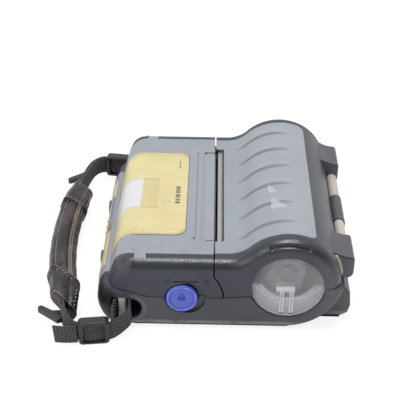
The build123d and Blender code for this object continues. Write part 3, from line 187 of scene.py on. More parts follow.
def fill_grain(place, given):
    """Fine spark-eroded grain of moulded plastic."""
    pebble = noise(place, given["Scale"], 3.0, 0.6)
    wires = {"Vector": place, "Scale": given["Scale"]}
    pits = tap(place.tree, "ShaderNodeTexVoronoi", wires, "Distance")
    return bump(pebble + pits * 0.5, given["Depth"], 0.0002), pebble


def fill_scuffs(place, given):
    """Fine scratches in patches, with small chips between them."""
    patches = noise(place, 26.0, 3.0).level(0.5, 0.68)
    lines = noise(stretch(place, 1.0, 0.12, 0.5), 900.0, 3.0).level(0.6, 0.7)
    cross = noise(stretch(place, 0.15, 1.0, 0.7), 800.0, 3.0).level(0.64, 0.74)
    chips = noise(place, 420.0).level(0.72, 0.78)
    return [((lines + cross + chips) * patches).math("MULTIPLY", given["Amount"], clamp=True)]


def fill_grime(place, given):
    """Cloudy handling marks with a few darker specks."""
    clouds = noise(place, 34.0, 4.0, 0.6).level(0.42, 0.72)
    specks = noise(place, 310.0).level(0.7, 0.76) * noise(place, 48.0, 1.0).level(0.5, 0.62)
    return [(clouds * given["Clouds"]).math("ADD", specks * given["Specks"], clamp=True)]


def fill_weave(_, given):
    """Flat woven webbing, its ribs across the band, from the band's own map in millimetres."""
    run, across, _ = split(given["Map"])
    turns = run * (math.tau / 2.3)
    rows = (across * (math.tau / 2.1)).math("SINE")
    stagger = (turns + rows.math("SIGN") * (math.pi / 2)).math("SINE")
    fuzz = noise(given["Map"], 2.4, 3.0, 0.7)
    height = rows.math("ABSOLUTE") * stagger + turns.math("SINE") * 0.35 + fuzz * 0.5
    return bump(height, given["Depth"], 0.0004), height.level(-0.6, 1.5)


def fill_leather(place, given):
    """Smooth leather with a fine cell grain, creases and rubbed patches."""
    wires = {"Vector": place, "Scale": 1100.0}
    cells = tap(place.tree, "ShaderNodeTexVoronoi", wires, "Distance", feature="SMOOTH_F1")
    creases = noise(stretch(place, 1.0, 0.35, 1.0), 260.0, 5.0, 0.65)
    rubbed = noise(stretch(place, 1.0, 0.4, 1.0), 90.0, 5.0, 0.66).level(0.46, 0.66)
    return bump(cells * 0.6 + creases, given["Depth"], 0.0005), rubbed, creases


GRAIN = group("Moulded grain", {"Scale": 1500.0, "Depth": 0.2}, ("Normal", "Shade"), fill_grain)
SCUFFS = group("Scuffs", {"Amount": 0.5}, ("Mask",), fill_scuffs)
GRIME = group("Grime", {"Clouds": 0.2, "Specks": 0.5}, ("Mask",), fill_grime)
WEAVE = group("Webbing weave", {"Map": None, "Depth": 0.8}, ("Normal", "Shade"), fill_weave)
LEATHER = group("Leather", {"Depth": 0.4}, ("Normal", "Rubbed", "Creases"), fill_leather)

# ---- Materials ----------------------------------------------------------------------------


class Look:
    """A material with one Principled shader."""

    def __init__(self, name, colour, rough, **sockets):
        self.material = bpy.data.materials.new(name)
        self.material.use_nodes = True
        self.tree = self.material.node_tree
        self.shader = self.tree.nodes["Principled BSDF"]
        self.place = spot(self.tree)
        sockets.update(Base_Color=colour, Roughness=rough)
        for key, value in sockets.items():
            self.shader.inputs[key.replace("_", " ")].default_value = value

    def use(self, effect, **wires):
        """A group in this material. Its outputs by name."""
        node = put(self.tree, "ShaderNodeGroup", wires, node_tree=effect)
        return {socket.name: Wire(self.tree, socket) for socket in node.outputs}

    def grain(self, scale, depth):
        return self.use(GRAIN, Scale=scale, Depth=depth)

    def scuffs(self, amount):
        return self.use(SCUFFS, Amount=amount)["Mask"]

    def grime(self, clouds, specks):
        return self.use(GRIME, Clouds=clouds, Specks=specks)["Mask"]

    def facing_y(self):
        """How far the surface faces along Y."""
        return split(tap(self.tree, "ShaderNodeNewGeometry", out="Normal"))[1]

    def feed(self, colour=None, rough=None, normal=None, **others):
        for key, wire in {"Base_Color": colour, "Roughness": rough, "Normal": normal, **others}.items():
            if wire is not None:
                self.tree.links.new(wire.socket, self.shader.inputs[key.replace("_", " ")])
        return self.material

    def swap(self, ray, other):
        """Another shader in this one's place for one kind of ray."""
        rays = put(self.tree, "ShaderNodeLightPath").outputs
        wires = {0: rays[ray], 1: self.shader.outputs[0], 2: other.outputs[0]}
        both = put(self.tree, "ShaderNodeMixShader", wires)
        self.tree.links.new(both.outputs[0], self.tree.nodes["Material Output"].inputs["Surface"])
        return self.material


def moulded(name, colour, rough, grain=1500.0, depth=0.15, scuff=0.2, clouds=0.15, specks=0.2, **sockets):
    """Moulded plastic or rubber: grain, cloudy handling marks and scuffs in a paler shade."""
    colour = linear(*colour)
    look = Look(name, colour, rough, **sockets)
    texture = look.grain(grain, depth)
    tone = look.grime(clouds, specks).pick(colour, shade(colour, 0.72))
    tone = look.scuffs(scuff).pick(tone, shade(colour, 1.8, 0.03))
    return look.feed(tone, texture["Shade"] * 0.16 + (rough - 0.08), texture["Normal"])


def metal(name, grey, rough, lines=(1.0, 0.05, 1.0)):
    """Metal with fine drawn or brushed lines."""
    colour = linear(*grey)
    look = Look(name, colour, rough, Metallic=1.0)
    drawn = noise(stretch(look.place, *lines), 2600.0, 3.0)
    tone = noise(look.place, 90.0, 3.0).pick(colour, shade(colour, 0.75))
    return look.feed(tone, drawn * 0.25 + (rough - 0.1), bump(drawn, 0.12, 0.0001))


def button_plastic():
    """Glossy blue plastic, with painted shade in the groove round its dish and a painted highlight on the
    rim.
    """
    look = Look("button_plastic", linear(84, 100, 214), 0.26, Coat_Weight=0.5)
    radius = distance(look.place, BUTTON)
    worn = noise(look.place, 260.0, 3.0, 0.6)
    # Painted shade in the groove round the dish, and a painted highlight on the rim, broken up by the patchy
    # tone.
    shaded_groove = radius.between(0.0070, 0.0079, 0.0003)
    rim = radius.between(0.0081, 0.0092, 0.0003)
    tone = painted(
        linear(82, 98, 216),
        (worn, 92, 110, 226),
        (shaded_groove * 0.6, 44, 54, 150),
        (rim * worn.level(0.35, 0.6), 132, 148, 240),
        (look.scuffs(0.25), 170, 180, 240),
    )
    return look.feed(tone, worn * 0.12 + 0.16)


def casing_plastic():
    """Dark casing: satin sides and glossy shoulders, with painted shade on the shoulders, in the dimple, on
    the low nose and on the underside, a painted highlight round the strap pocket, and paler in a ragged line
    above the base and towards its rear.
    """
    look = Look("casing_plastic", CHARCOAL, 0.42)
    x, _, z = split(look.place)
    # Painted shade on the shoulders: a darker colour stands in for the dark they reflect. The same mask also
    # makes them glossier.
    shoulder_shade_and_gloss = look.facing_y().math("ABSOLUTE").between(0.3, 0.93, 0.06) * z.level(0.036, 0.042)
    # Painted shade in the dimple over the window, which is also made glossier.
    shaded_dimple = shoulder_shade_and_gloss * (x.between(0.0455, 0.0665, 0.002) * z.between(0.0565, 0.0625, 0.0012))
    low_edge = z.between(0.0036, 0.0062, 0.0007) * noise(look.place, 130.0, 4.0, 0.65).level(0.2, 0.55)
    # Painted highlight on the bevel round the strap pocket.
    pocket_highlight = distance(look.place, POCKET).between(0.0084, 0.0108, 0.0005) * x.level(-0.043, -0.036)
    # Painted shade on the low front nose, below the seam.
    shaded_nose = x.level(-0.0460, -0.0500) * z.level(0.0280, 0.0255)
    tone = painted(
        CHARCOAL,
        (z.level(0.0250, 0.0225), 82, 83, 92),
        (x.level(0.070, 0.084) * 0.8, 98, 97, 101),
        (look.grime(0.3, 0.3), 50, 51, 58),
        (shaded_nose * 0.95, 20, 20, 24),
        (shoulder_shade_and_gloss, 35, 39, 50),
        (shaded_dimple, 24, 28, 34),
        (look.scuffs(0.3), 108, 109, 118),
        (low_edge * 0.8, 148, 146, 148),
        (pocket_highlight * 0.5, 118, 119, 126),
        # Painted shade: black where the underside curves down out of the light.
        (z.level(0.0036, 0.0028), 18, 18, 20),
    )
    texture = look.grain(1500.0, shoulder_shade_and_gloss * 0.3 + 0.2)
    speckle = (noise(look.place, 700.0, 3.0, 0.7) - 0.5) * shoulder_shade_and_gloss
    shine = texture["Shade"] * 0.2 + 0.28 - shoulder_shade_and_gloss * 0.08 + speckle * 0.3 - shaded_dimple * 0.12
    return look.feed(tone, shine, texture["Normal"], Specular_IOR_Level=shoulder_shade_and_gloss * 0.5 + 0.5)


# Pale rubbed triangles by the crest of the cover: X where they start and reach to, Y from tip to root
RUBBED = ((0.0470, 0.0520, -0.0120, -0.0215), (0.0485, 0.0575, -0.0290, -0.0400))


def panel_plastic():
    """Pale grey deck and cover panel, with scuffs that show white near the crest of the cover, painted shade
    on the steep sides of the ribs, and a painted highlight and painted shade along the band beside the slot.
    """
    look = Look("panel_plastic", DECK_GREY, 0.38)
    x, y, _ = split(look.place)
    end_wear = x.between(0.052, 0.059, 0.002) * y.between(-0.076, -0.064, 0.003)
    worn = end_wear.math("MAXIMUM", x.between(0.044, 0.06, 0.003) * y.between(-0.045, -0.01, 0.004))
    crest = (worn * 0.75 + 0.10) * look.scuffs(0.6)
    ragged = (noise(look.place, 260.0, 4.0, 0.7) - 0.5) * 0.006
    for low_x, high_x, tip_y, root_y in RUBBED:
        reach = y.level(tip_y, root_y) + ragged * 60.0
        edge = tap(look.tree, "ShaderNodeMapRange", {"Value": reach, "To Min": low_x, "To Max": high_x})
        shifted = x + ragged
        inside = shifted.math("LESS_THAN", edge) * shifted.math("GREATER_THAN", low_x - 0.001)
        crest = crest.math("MAXIMUM", inside * y.between(root_y, tip_y, 0.0008) * 0.6)
    soil = noise(look.place, 90.0, 4.0, 0.7).level(0.52, 0.68) * y.between(-0.08, -0.06, 0.004)
    by_slot = y.between(-0.0575, 0.0505, 0.0006)
    # Painted shade on the steep side of each rib.
    steep_rib_shade = look.facing_y().level(-0.12, -0.36) * y.between(-0.07, 0.07, 0.001)
    tone = painted(
        linear(160, 165, 173),
        (x.level(0.035, 0.062), 168, 172, 180),
        (soil * 0.35, 120, 122, 128),
        # Painted highlight on the raised band beside the slot.
        (x.between(0.0048, 0.0112, 0.0004) * by_slot * 0.08, 188, 191, 198),
        # Painted shade: a soft dark line along the band's front edge.
        (x.between(0.0032, 0.0046, 0.0007) * by_slot * 0.3, 122, 126, 136),
        (steep_rib_shade * 0.6, 104, 109, 123),
        (look.grime(0.22, 0.5), 132, 136, 146),
        (crest, 205, 206, 210),
    )
    texture = look.grain(2100.0, 0.06)
    return look.feed(tone, texture["Shade"] * 0.15 + 0.27, texture["Normal"])


def printed_film(name, colour, aged):
    """A printed label film: slightly uneven, with specks of dirt and rubbed places."""
    look = Look(name, linear(*colour), 0.36)
    waves = noise(look.place, 55.0, 4.0)
    tone = painted(linear(*colour), (look.grime(0.35, 0.8), *aged))
    tone = look.scuffs(0.25).pick(tone, shade(linear(*aged), 0.55))
    return look.feed(tone, waves * 0.2 + 0.26, bump(waves, 0.05, 0.001))


def overlay_film():
    """The keypad's overlay: yellow, with a violet stripe and a brown stripe of painted shade along its upper
    edge.
    """
    look = Look("overlay_film", linear(*YELLOW), 0.36)
    _, y, z = split(look.place)
    upper = z.between(0.0245, 0.04, 0.0003)
    dirt = look.grime(0.4, 0.6)
    tone = painted(
        linear(*YELLOW),
        (y.between(0.0, 0.030, 0.0004) * upper, 146, 132, 176),
        # Painted shade: the brown stripe stands for the shade in a gap.
        (y.between(-0.013, -0.001, 0.0004) * upper, 128, 122, 112),
        (dirt, 170, 152, 100),
    )
    return look.feed(tone, dirt * 0.3 + 0.3)


def bay_plastic():
    """Pale cradle plastic. Its end walls are greyer outside the ring that holds the window."""
    look = Look("bay_plastic", linear(205, 200, 199), 0.55)
    end_wall = split(look.place)[1].math("ABSOLUTE").level(0.0740, 0.0744)
    outside = distance(look.place, WINDOW).level(0.0166, 0.0172) * end_wall
    dirt = look.grime(0.4, 0.2)
    tone = painted(linear(205, 200, 199), (outside, 172, 174, 185), (dirt, 148, 144, 143))
    return look.feed(tone, None, look.grain(1500.0, 0.1)["Normal"])


def clear_window():
    """Clear plastic gone slightly milky and scratched. Light passes through it to the bay."""
    look = Look("clear_window", linear(236, 235, 238), 0.06, IOR=1.2)
    marks = look.scuffs(0.5)
    milk = noise(look.place, 60.0, 4.0, 0.6).level(0.35, 0.75) * 0.10 + marks * 0.22
    look.feed(None, marks * 0.2 + 0.04, Transmission_Weight=milk * -1.0 + 0.88)
    clear = put(look.tree, "ShaderNodeBsdfTransparent", {0: (0.94, 0.93, 0.92, 1.0)})
    return look.swap("Is Shadow Ray", clear)


def webbing_cloth():
    """Woven polyester webbing, its pattern following each band."""
    yarn = linear(66, 57, 57)
    look = Look("strap_webbing", yarn, 0.82, Sheen_Weight=0.25, Sheen_Roughness=0.5)
    cloth = look.use(WEAVE, Map=tap(look.tree, "ShaderNodeUVMap", uv_map="run"), Depth=1.3)
    dirt = look.grime(0.5, 0.3)
    tone = cloth["Shade"].pick(shade(yarn, 0.25), shade(yarn, 2.3, 0.016))
    return look.feed(painted(tone, (dirt * 0.5, 92, 80, 72)), None, cloth["Normal"])


def grip_leather(name, colour, rubbed, depth):
    """Leather that has browned where hands and edges rub it."""
    look = Look(name, linear(*colour), 0.42, Coat_Weight=0.25, Coat_Roughness=0.2, Specular_IOR_Level=0.4)
    hide = look.use(LEATHER, Depth=depth)
    tone = painted(linear(*colour), (hide["Rubbed"] * 0.8, *rubbed))
    return look.feed(tone, hide["Creases"] * 0.35 + 0.3, hide["Normal"])


LOOKS = {
    "casing": casing_plastic(),
    "panel": panel_plastic(),
    "bezel": moulded("bezel_plastic", (158, 160, 166), 0.42, depth=0.1),
    "overlay": overlay_film(),
    "keys": moulded("key_rubber", (96, 99, 106), 0.6, depth=0.2),
    "lens": moulded("lens_plastic", (196, 205, 190), 0.16, depth=0.02, Coat_Weight=0.6),
    "window": clear_window(),
    "button": button_plastic(),
    "button_mark": moulded("button_mark", (62, 72, 168), 0.4, depth=0.05),
    "cream": moulded("cream_plastic", (214, 203, 190), 0.5, depth=0.1, clouds=0.5, specks=0.6),
    "steel": metal("bright_steel", (206, 206, 208), 0.26),
    "lug": moulded("pale_lug", (236, 229, 220), 0.45, depth=0.1, clouds=0.5),
    "sheet_steel": metal("sheet_steel", (178, 180, 184), 0.38, (0.05, 1.0, 1.0)),
    "strip": moulded("tear_strip", (182, 181, 185), 0.36, 2400.0, depth=0.05, clouds=0.2, Metallic=0.3),
    "brown": moulded("worn_brown", (116, 98, 88), 0.6, depth=0.1),
    "mark": moulded("moulded_mark", (46, 47, 54), 0.5, depth=0.1),
    "zinc": metal("black_zinc", (66, 66, 70), 0.42),
    "can": metal("motor_can", (150, 150, 153), 0.36),
    "roller": moulded("roller_rubber", (44, 44, 47), 0.75, depth=0.25, scuff=0.1),
    "gear": moulded("gear_plastic", (216, 209, 196), 0.4, depth=0.06, clouds=0.3),
    "black": moulded("black_plastic", (42, 42, 45), 0.4, depth=0.12),
    "alloy": metal("heat_sink_alloy", (205, 206, 209), 0.32, (1.0, 1.0, 0.05)),
    "ceramic": moulded("head_ceramic", (92, 80, 68), 0.2, depth=0.02, Coat_Weight=0.5),
    "liner": bay_plastic(),
    "guide": moulded("guide_plastic", (184, 181, 184), 0.42, depth=0.1, clouds=0.3),
    "clip": moulded("clip_plastic", (232, 232, 236), 0.3, depth=0.05, clouds=0.2),
    "board": moulded("board_lacquer", (38, 96, 62), 0.3, depth=0.05, Coat_Weight=0.4),
    "socket": moulded("socket_plastic", (34, 34, 36), 0.4, depth=0.1),
    "flap": moulded("flap_rubber", (52, 53, 57), 0.68, depth=0.25),
    "foot": moulded("foot_rubber", (40, 40, 43), 0.75, depth=0.35, scuff=0.3),
    "battery": moulded("battery_plastic", (52, 53, 58), 0.46, depth=0.2),
    "webbing": webbing_cloth(),
    "lining": moulded("strap_lining", (196, 184, 168), 0.7, depth=0.3, clouds=0.6, specks=0.8),
    "buckle": moulded("buckle_plastic", (50, 48, 53), 0.28, 900.0, depth=0.14, scuff=0.5),
    "leather": grip_leather("grip_leather", (30, 26, 31), (84, 72, 73), 0.5),
    "worn_leather": grip_leather("edge_leather", (96, 82, 76), (148, 128, 114), 0.6),
    "thread": moulded("tan_thread", (196, 182, 168), 0.8, 2600.0, depth=0.5),
    "label": printed_film("label_film", YELLOW, (196, 180, 124)),
    "patch": printed_film("patch_film", (231, 229, 232), (190, 188, 192)),
    "plate": printed_film("plate_film", (222, 207, 150), (180, 164, 112)),
    "aged_edge": printed_film("film_edge", (104, 96, 78), (84, 78, 66)),
    "ink": moulded("dark_ink", (70, 72, 92), 0.5, depth=0.05),
}

DRESS = {
    "casing": "lower_chassis front_casing cover_shell",
    "panel": "deck_panel cover_panel",
    "bezel": "keypad_bezel",
    "overlay": "keypad_overlay",
    "keys": "power_key feed_key",
    "lens": "status_lenses",
    "window": "window_near window_far",
    "button": "eject_button",
    "cream": "hinge_sleeves",
    "steel": "hinge_rod platen_shaft motor_shaft pinion_post head_springs button_spring",
    "strip": "tear_bar",
    "lug": "lug_bars",
    "sheet_steel": "head_bracket latch_bar gear_plate",
    "zinc": "case_screws",
    "can": "motor",
    "roller": "platen_rubber",
    "gear": "platen_gear idler_gear motor_pinion guide_pinion",
    "black": "platen_bearings button_guide",
    "alloy": "heat_sink",
    "ceramic": "print_head",
    "liner": "bay_liner guide_block",
    "guide": "guide_arm_near guide_arm_far hub_near hub_far",
    "board": "main_board",
    "socket": "power_jack data_port",
    "flap": "port_cover",
    "foot": "rubber_feet",
    "battery": "battery_pack battery_latch",
    "buckle": "buckle_near buckle_far hook_near hook_far",
}
for look, names in DRESS.items():
    for name in names.split():
        mesh = NODES[name].data
        mesh.materials.clear()
        mesh.materials.append(LOOKS[look])


# ---- Building meshes ----------------------------------------------------------------------


def shown(name, data):
    """An object in the scene."""
    thing = bpy.data.objects.new(name, data)
    bpy.context.scene.collection.objects.link(thing)
    return thing


def riding(piece, body):
    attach(piece, body)
    return piece


def solid(name, points, faces, looks, body, face_looks=None, uvs=None, smooth=True):
    """An object made from points and faces, riding on a body."""
    mesh = bpy.data.meshes.new(name)
    mesh.from_pydata([tuple(p) for p in points], [], faces)
    for look in looks:
        mesh.materials.append(LOOKS[look])
    for index, polygon in enumerate(mesh.polygons):
        polygon.use_smooth = smooth
        if face_looks:
            polygon.material_index = face_looks[index]
    if uvs:
        layer = mesh.uv_layers.new(name="run")
        for loop in mesh.loops:
            layer.data[loop.index].uv = uvs[loop.vertex_index]
    work = bmesh.new()
    work.from_mesh(mesh)
    bmesh.ops.recalc_face_normals(work, faces=work.faces)
    work.to_mesh(mesh)
    work.free()
    return riding(shown(name, mesh), body)


def tree_of(node):
    mesh = NODES[node].data
    return BVHTree.FromPolygons([v.co for v in mesh.vertices], [tuple(p.vertices) for p in mesh.polygons])


def marched(low, high, count):
    """Even steps from one value to another."""
    return [low + (high - low) * index / count for index in range(count + 1)]


def outer_profile(surface, centre, start, end, count):
    """Where rays towards a line along Y first meet a surface, from one angle in degrees to another."""
    found = []
    for angle in marched(start, end, count):
        aim = Vector((math.cos(math.radians(angle)), 0, math.sin(math.radians(angle))))
        hit = surface.ray_cast(Vector((centre[0], 0, centre[1])) + 0.2 * aim, -aim)[0]
        if hit is not None:
            found.append(hit)
    return found


class Profile:
    """A run of points in the X-Z plane, read by its own length."""

    def __init__(self, points):
        self.points = [Vector((p.x, p.z)) for p in points]
        self.runs = [0.0]
        for a, b in zip(self.points, self.points[1:]):
            self.runs.append(self.runs[-1] + (b - a).length)
        self.length = self.runs[-1]

    def at(self, run):
        """The point and outward normal at a length along the profile."""
        run = min(max(run, 0.0), self.length)
        index = 0
        while index < len(self.runs) - 2 and self.runs[index + 1] < run:
            index += 1
        a, b = self.points[index], self.points[index + 1]
        share = (run - self.runs[index]) / max(self.runs[index + 1] - self.runs[index], 1e-9)
        along = (b - a).normalized()
        return a.lerp(b, share), Vector((along.y, -along.x))

    def run_where(self, axis, value):
        """The length at which X (axis 0) or Z (axis 1) first has a value."""
        for index, (before, after) in enumerate(zip(self.points, self.points[1:])):
            a, b = before[axis], after[axis]
            if (a - value) * (b - value) <= 0 and a != b:
                return self.runs[index] + (value - a) / (b - a) * (self.runs[index + 1] - self.runs[index])
        return self.length


FILM_COLUMNS = 12
FILM_FOOT = 0.00002  # its underside stands this far off the surface


def wrapped_film(name, look, profile, start, end, low_y, high_y, lift, corners):
    """A thin film that follows a profile. corners: radius at its start and at its end."""
    middle, half = (low_y + high_y) / 2, (high_y - low_y) / 2
    ends = ((corners[0], start, 1), (corners[1], end, -1))
    runs = {round(run, 7) for run in marched(start, end, 32)}
    for radius, base, sign in ends:
        for index in range(7):
            runs.add(round(base + sign * radius * (1 - math.cos(index / 6 * math.pi / 2)), 7))
    runs = sorted(runs)
    width = FILM_COLUMNS + 1
    points, faces = [], []
    for height in (lift, FILM_FOOT):
        for run in runs:
            inset = 0.0
            for radius, base, sign in ends:
                gap = sign * (run - base)
                if radius > 0 and gap < radius:
                    inset = max(inset, radius - math.sqrt(max(radius**2 - (radius - gap) ** 2, 0)))
            place, normal = profile.at(run)
            place = place + normal * height
            for column in range(width):
                y = middle + (half - inset) * (2 * column / FILM_COLUMNS - 1)
                points.append((place.x, y, place.y))
    layer = len(runs) * width
    for first in (0, layer):
        for line in range(len(runs) - 1):
            for column in range(FILM_COLUMNS):
                a = first + line * width + column
                quad = (a, a + 1, a + width + 1, a + width)
                faces.append(quad[::-1] if first else quad)
    last = len(runs) - 1
    rim = list(range(width))
    rim += [line * width + FILM_COLUMNS for line in range(1, last + 1)]
    rim += [last * width + column for column in range(FILM_COLUMNS - 1, -1, -1)]
    rim += [line * width for line in range(last - 1, 0, -1)]
    for a, b in zip(rim, rim[1:] + rim[:1]):
        faces.append((a, b, b + layer, a + layer))
    solid(name, points, faces, [look], "base")


def curve_through(stations, step):
    """Points close together on a smooth curve through stations given in millimetres."""
    stations = [Vector(s) * MM for s in stations]
    ends = [2 * stations[0] - stations[1]] + stations + [2 * stations[-1] - stations[-2]]
    out = []
    for index in range(1, len(ends) - 2):
        p0, p1, p2, p3 = ends[index - 1 : index + 3]
        square = 2 * p0 - 5 * p1 + 4 * p2 - p3
        cube = 3 * p1 - p0 - 3 * p2 + p3
        count = max(2, int((p2 - p1).length / (step * MM)))
        for part in range(count):
            t = part / count
            out.append(0.5 * (2 * p1 + (p2 - p0) * t + square * t * t + cube * t**3))
    out.append(stations[-1])
    return out


def swept(name, line, section, up, looks, body, slot, section_looks=None, grow=None, lean=0.0):
    """A closed section swept along a line. lean slants it back across its width."""
    points, faces, uvs = [], [], []
    count = len(section)
    around = [0.0]
    for a, b in zip(section, section[1:]):
        around.append(around[-1] + math.dist(a, b))
    run = 0.0
    for index, place in enumerate(line):
        before, after = line[max(index - 1, 0)], line[min(index + 1, len(line) - 1)]
        if index:
            run += (place - line[index - 1]).length
        tangent = (after - before).normalized()
        side = tangent.cross(up).normalized()
        rise = side.cross(tangent).normalized()
        scale = grow(index / (len(line) - 1)) if grow else 1.0
        for (u, v), turned in zip(section, around):
            points.append(place + side * u * scale + rise * v * scale - tangent * u * lean)
            uvs.append((run / MM, (v if abs(v) > abs(u) else turned) / MM))
    last = (len(line) - 1) * count
    for start in range(0, last, count):
        for corner in range(count):
            a, b = start + corner, start + (corner + 1) % count
            faces.append((a, b, b + count, a + count))
    faces.append(tuple(range(count))[::-1])
    faces.append(tuple(range(last, last + count)))
    face_looks = (section_looks or [0] * count) * (len(line) - 1) + [0, 0]
    return solid(name, points, faces, looks, body, face_looks, uvs)


def rounded_box(width, height, radius, steps):
    """Corner points of a rectangle with rounded corners, anticlockwise."""
    out = []
    for cx, cy, start in ((1, 1, 0), (-1, 1, 90), (-1, -1, 180), (1, -1, 270)):
        for step in range(steps + 1):
            angle = math.radians(start + 90 * step / steps)
            x = cx * (width / 2 - radius) + radius * math.cos(angle)
            out.append((x, cy * (height / 2 - radius) + radius * math.sin(angle)))
    return out


# ---- Labels on the deck -------------------------------------------------------------------

DECK = Profile(outer_profile(tree_of("deck_panel"), (-0.030, 0.036), 24, 200, 300))
DECK_FOOT = DECK.run_where(1, 0.0287)

# X where each film starts and ends (none: at the foot of the deck), its limits in Y, lift and corners
FILMS = (
    ("deck_label", "label", -0.0065, None, -0.0505, 0.0505, 0.00018, (0.0065, 0.0)),
    # A larger, darker film under the label, showing as a thin dark outline round it
    ("deck_label_edge", "aged_edge", -0.0061, None, -0.0509, 0.0509, 0.00010, (0.0068, 0.0)),
    ("deck_patch", "patch", -0.0367, None, -0.020, 0.016, 0.0003, (0.0003, 0.0)),
    ("deck_plate", "plate", -0.0255, -0.0365, -0.0203, 0.0155, 0.00024, (0.0003, 0.0003)),
)
for name, look, start_x, end_x, *rest in FILMS:
    end = DECK_FOOT if end_x is None else DECK.run_where(0, end_x)
    wrapped_film(name, look, DECK, DECK.run_where(0, start_x), end, *rest)

# ---- Small marks and moulded details ------------------------------------------------------


def prisms(name, outlines, push, look, body):
    """Flat outlines given thickness along push, as one piece. All in millimetres."""
    points, faces = [], []
    for outline in outlines:
        first, count = len(points), len(outline)
        points += [Vector(place) * MM for place in outline]
        points += [(Vector(place) + Vector(push)) * MM for place in outline]
        faces.append(tuple(range(first, first + count)))
        faces.append(tuple(range(first + 2 * count - 1, first + count - 1, -1)))
        for index in range(count):
            a, b = first + index, first + (index + 1) % count
            faces.append((a, b, b + count, a + count))
    solid(name, points, faces, [look], body, smooth=False)


def strokes(line, width):
    """Each stretch of a line in a plane as a thin rectangle."""
    out = []
    for a, b in zip(line, line[1:]):
        a, b = Vector(a), Vector(b)
        along = (b - a).normalized() * width / 2
        across = Vector((-along.y, along.x))
        out.append([a - along - across, b + along - across, b + along + across, a - along + across])
    return out


def box(left, low, right, high):
    return [(left, low), (right, low), (right, high), (left, high)]


def on_side(outlines, y):
    return [[(x, y, z) for x, z in outline] for outline in outlines]


def on_deck(outlines, z):
    return [[(x, y, z) for x, y in outline] for outline in outlines]


# Button mark: a triangle over two lines
mark = strokes([(-9.5, 24.6), (-5.9, 24.6), (-7.7, 27.2), (-9.5, 24.6)], 0.35)
mark += strokes([(-9.9, 23.5), (-5.5, 23.5)], 0.35) + strokes([(-9.9, 22.5), (-5.5, 22.5)], 0.35)
prisms("button_mark", on_side(mark, -80.56), (0, 0.6, 0), "button_mark", "release")

# Raised signs either side of the engraved line: a step and a loop
stair = [(-19.4, 34.4), (-17.4, 34.4), (-17.4, 36.2), (-15.2, 36.2), (-15.2, 38.2), (-16.6, 38.2)]
hook = [(6.2, 38.0), (6.2, 34.6), (8.6, 34.6), (8.6, 38.0), (7.4, 38.0), (7.4, 36.6)]
signs = strokes(stair, 0.4) + strokes(hook, 0.4)
prisms("side_signs", on_side(signs, -80.12), (0, 0.4, 0), "mark", "base")

# Plain bars and a line of dashes, where such a label is printed. Each bar's width and the gap after it
BARS = ((1.6, 0.9), (0.7, 0.9), (1.1, 1.5), (0.7, 0.8), (1.6, 0.8))
BARS += ((0.7, 1.5), (1.6, 0.9), (0.7, 0.8), (1.1, 0.9), (1.6, 0.0))
bars, place = [], -14.6
for wide, gap in BARS:
    bars.append(box(-14.2, place, -11.2, place + wide))
    place += wide + gap
bars += [box(-12.9, y, -12.2, y + 2.2) for y in (29.8, 33.2, 36.6)]
prisms("label_bars", on_deck(bars, DECK_TOP), (0, 0, 0.13), "ink", "base")

SPECKS = ((-26.0, -15.5), (-22.4, -14.3), (-22.0, -12.8), (-18.8, -12.3))
SPECKS += ((-17.6, -12.8), (-28.0, 51.4), (-33.0, -46.0))
specks = [[(x - 0.3, y - 0.4), (x + 0.3, y - 0.2), (x + 0.2, y + 0.4), (x - 0.2, y + 0.3)] for x, y in SPECKS]
prisms("label_specks", on_deck(specks, DECK_TOP), (0, 0, 0.1), "mark", "base")

# Painted shade: black plates stand for the shade in the pit at the near end of the deck's groove and in the
# gap that closes its raised band
angles = [math.tau * step / 10 for step in range(10)]
pit = [(-0.9 + 0.8 * math.cos(angle), -53.4 + 0.8 * math.sin(angle)) for angle in angles]
pits = on_deck([pit], 50.45) + on_deck([box(4.4, 50.0, 11.4, 51.2)], 50.8)
prisms("deck_pits", pits, (0, 0, 0.24), "socket", "base")

# Moulded clip on the inside of the near window: a bar on two pairs of legs, with painted shadows at their
# feet, and the bay's lip behind it
clip = [box(50.6, 28.6, 62.0, 32.0)] + [box(x, 11.6, x + 0.9, 28.6) for x in (52.9, 54.5, 59.0, 60.6)]
prisms("window_clip", on_side(clip, CLIP_Y), (0, 0.5, 0), "clip", "cover")
# Painted shadows: dark blocks at the foot of each pair of legs.
feet = [box(x, 10.6, x + 2.4, 11.9) for x in (52.9, 59.1)]
prisms("clip_feet", on_side(feet, CLIP_Y), (0, 0.5, 0), "mark", "cover")
# The bay's lip, in whiter plastic than the bay: partly a real lip, partly a painted highlight along its edge.
lip = [(38.0, 31.6), (41.0, 27.6), (45.0, 24.6), (52.3, 22.3), (61.6, 22.3), (69.8, 24.2), (74.5, 27.8)]
lip.append((77.2, 31.0))
prisms("bay_lip", on_side(strokes(lip, 0.8), CLIP_Y + 0.5), (0, 0.3, 0), "clip", "base")

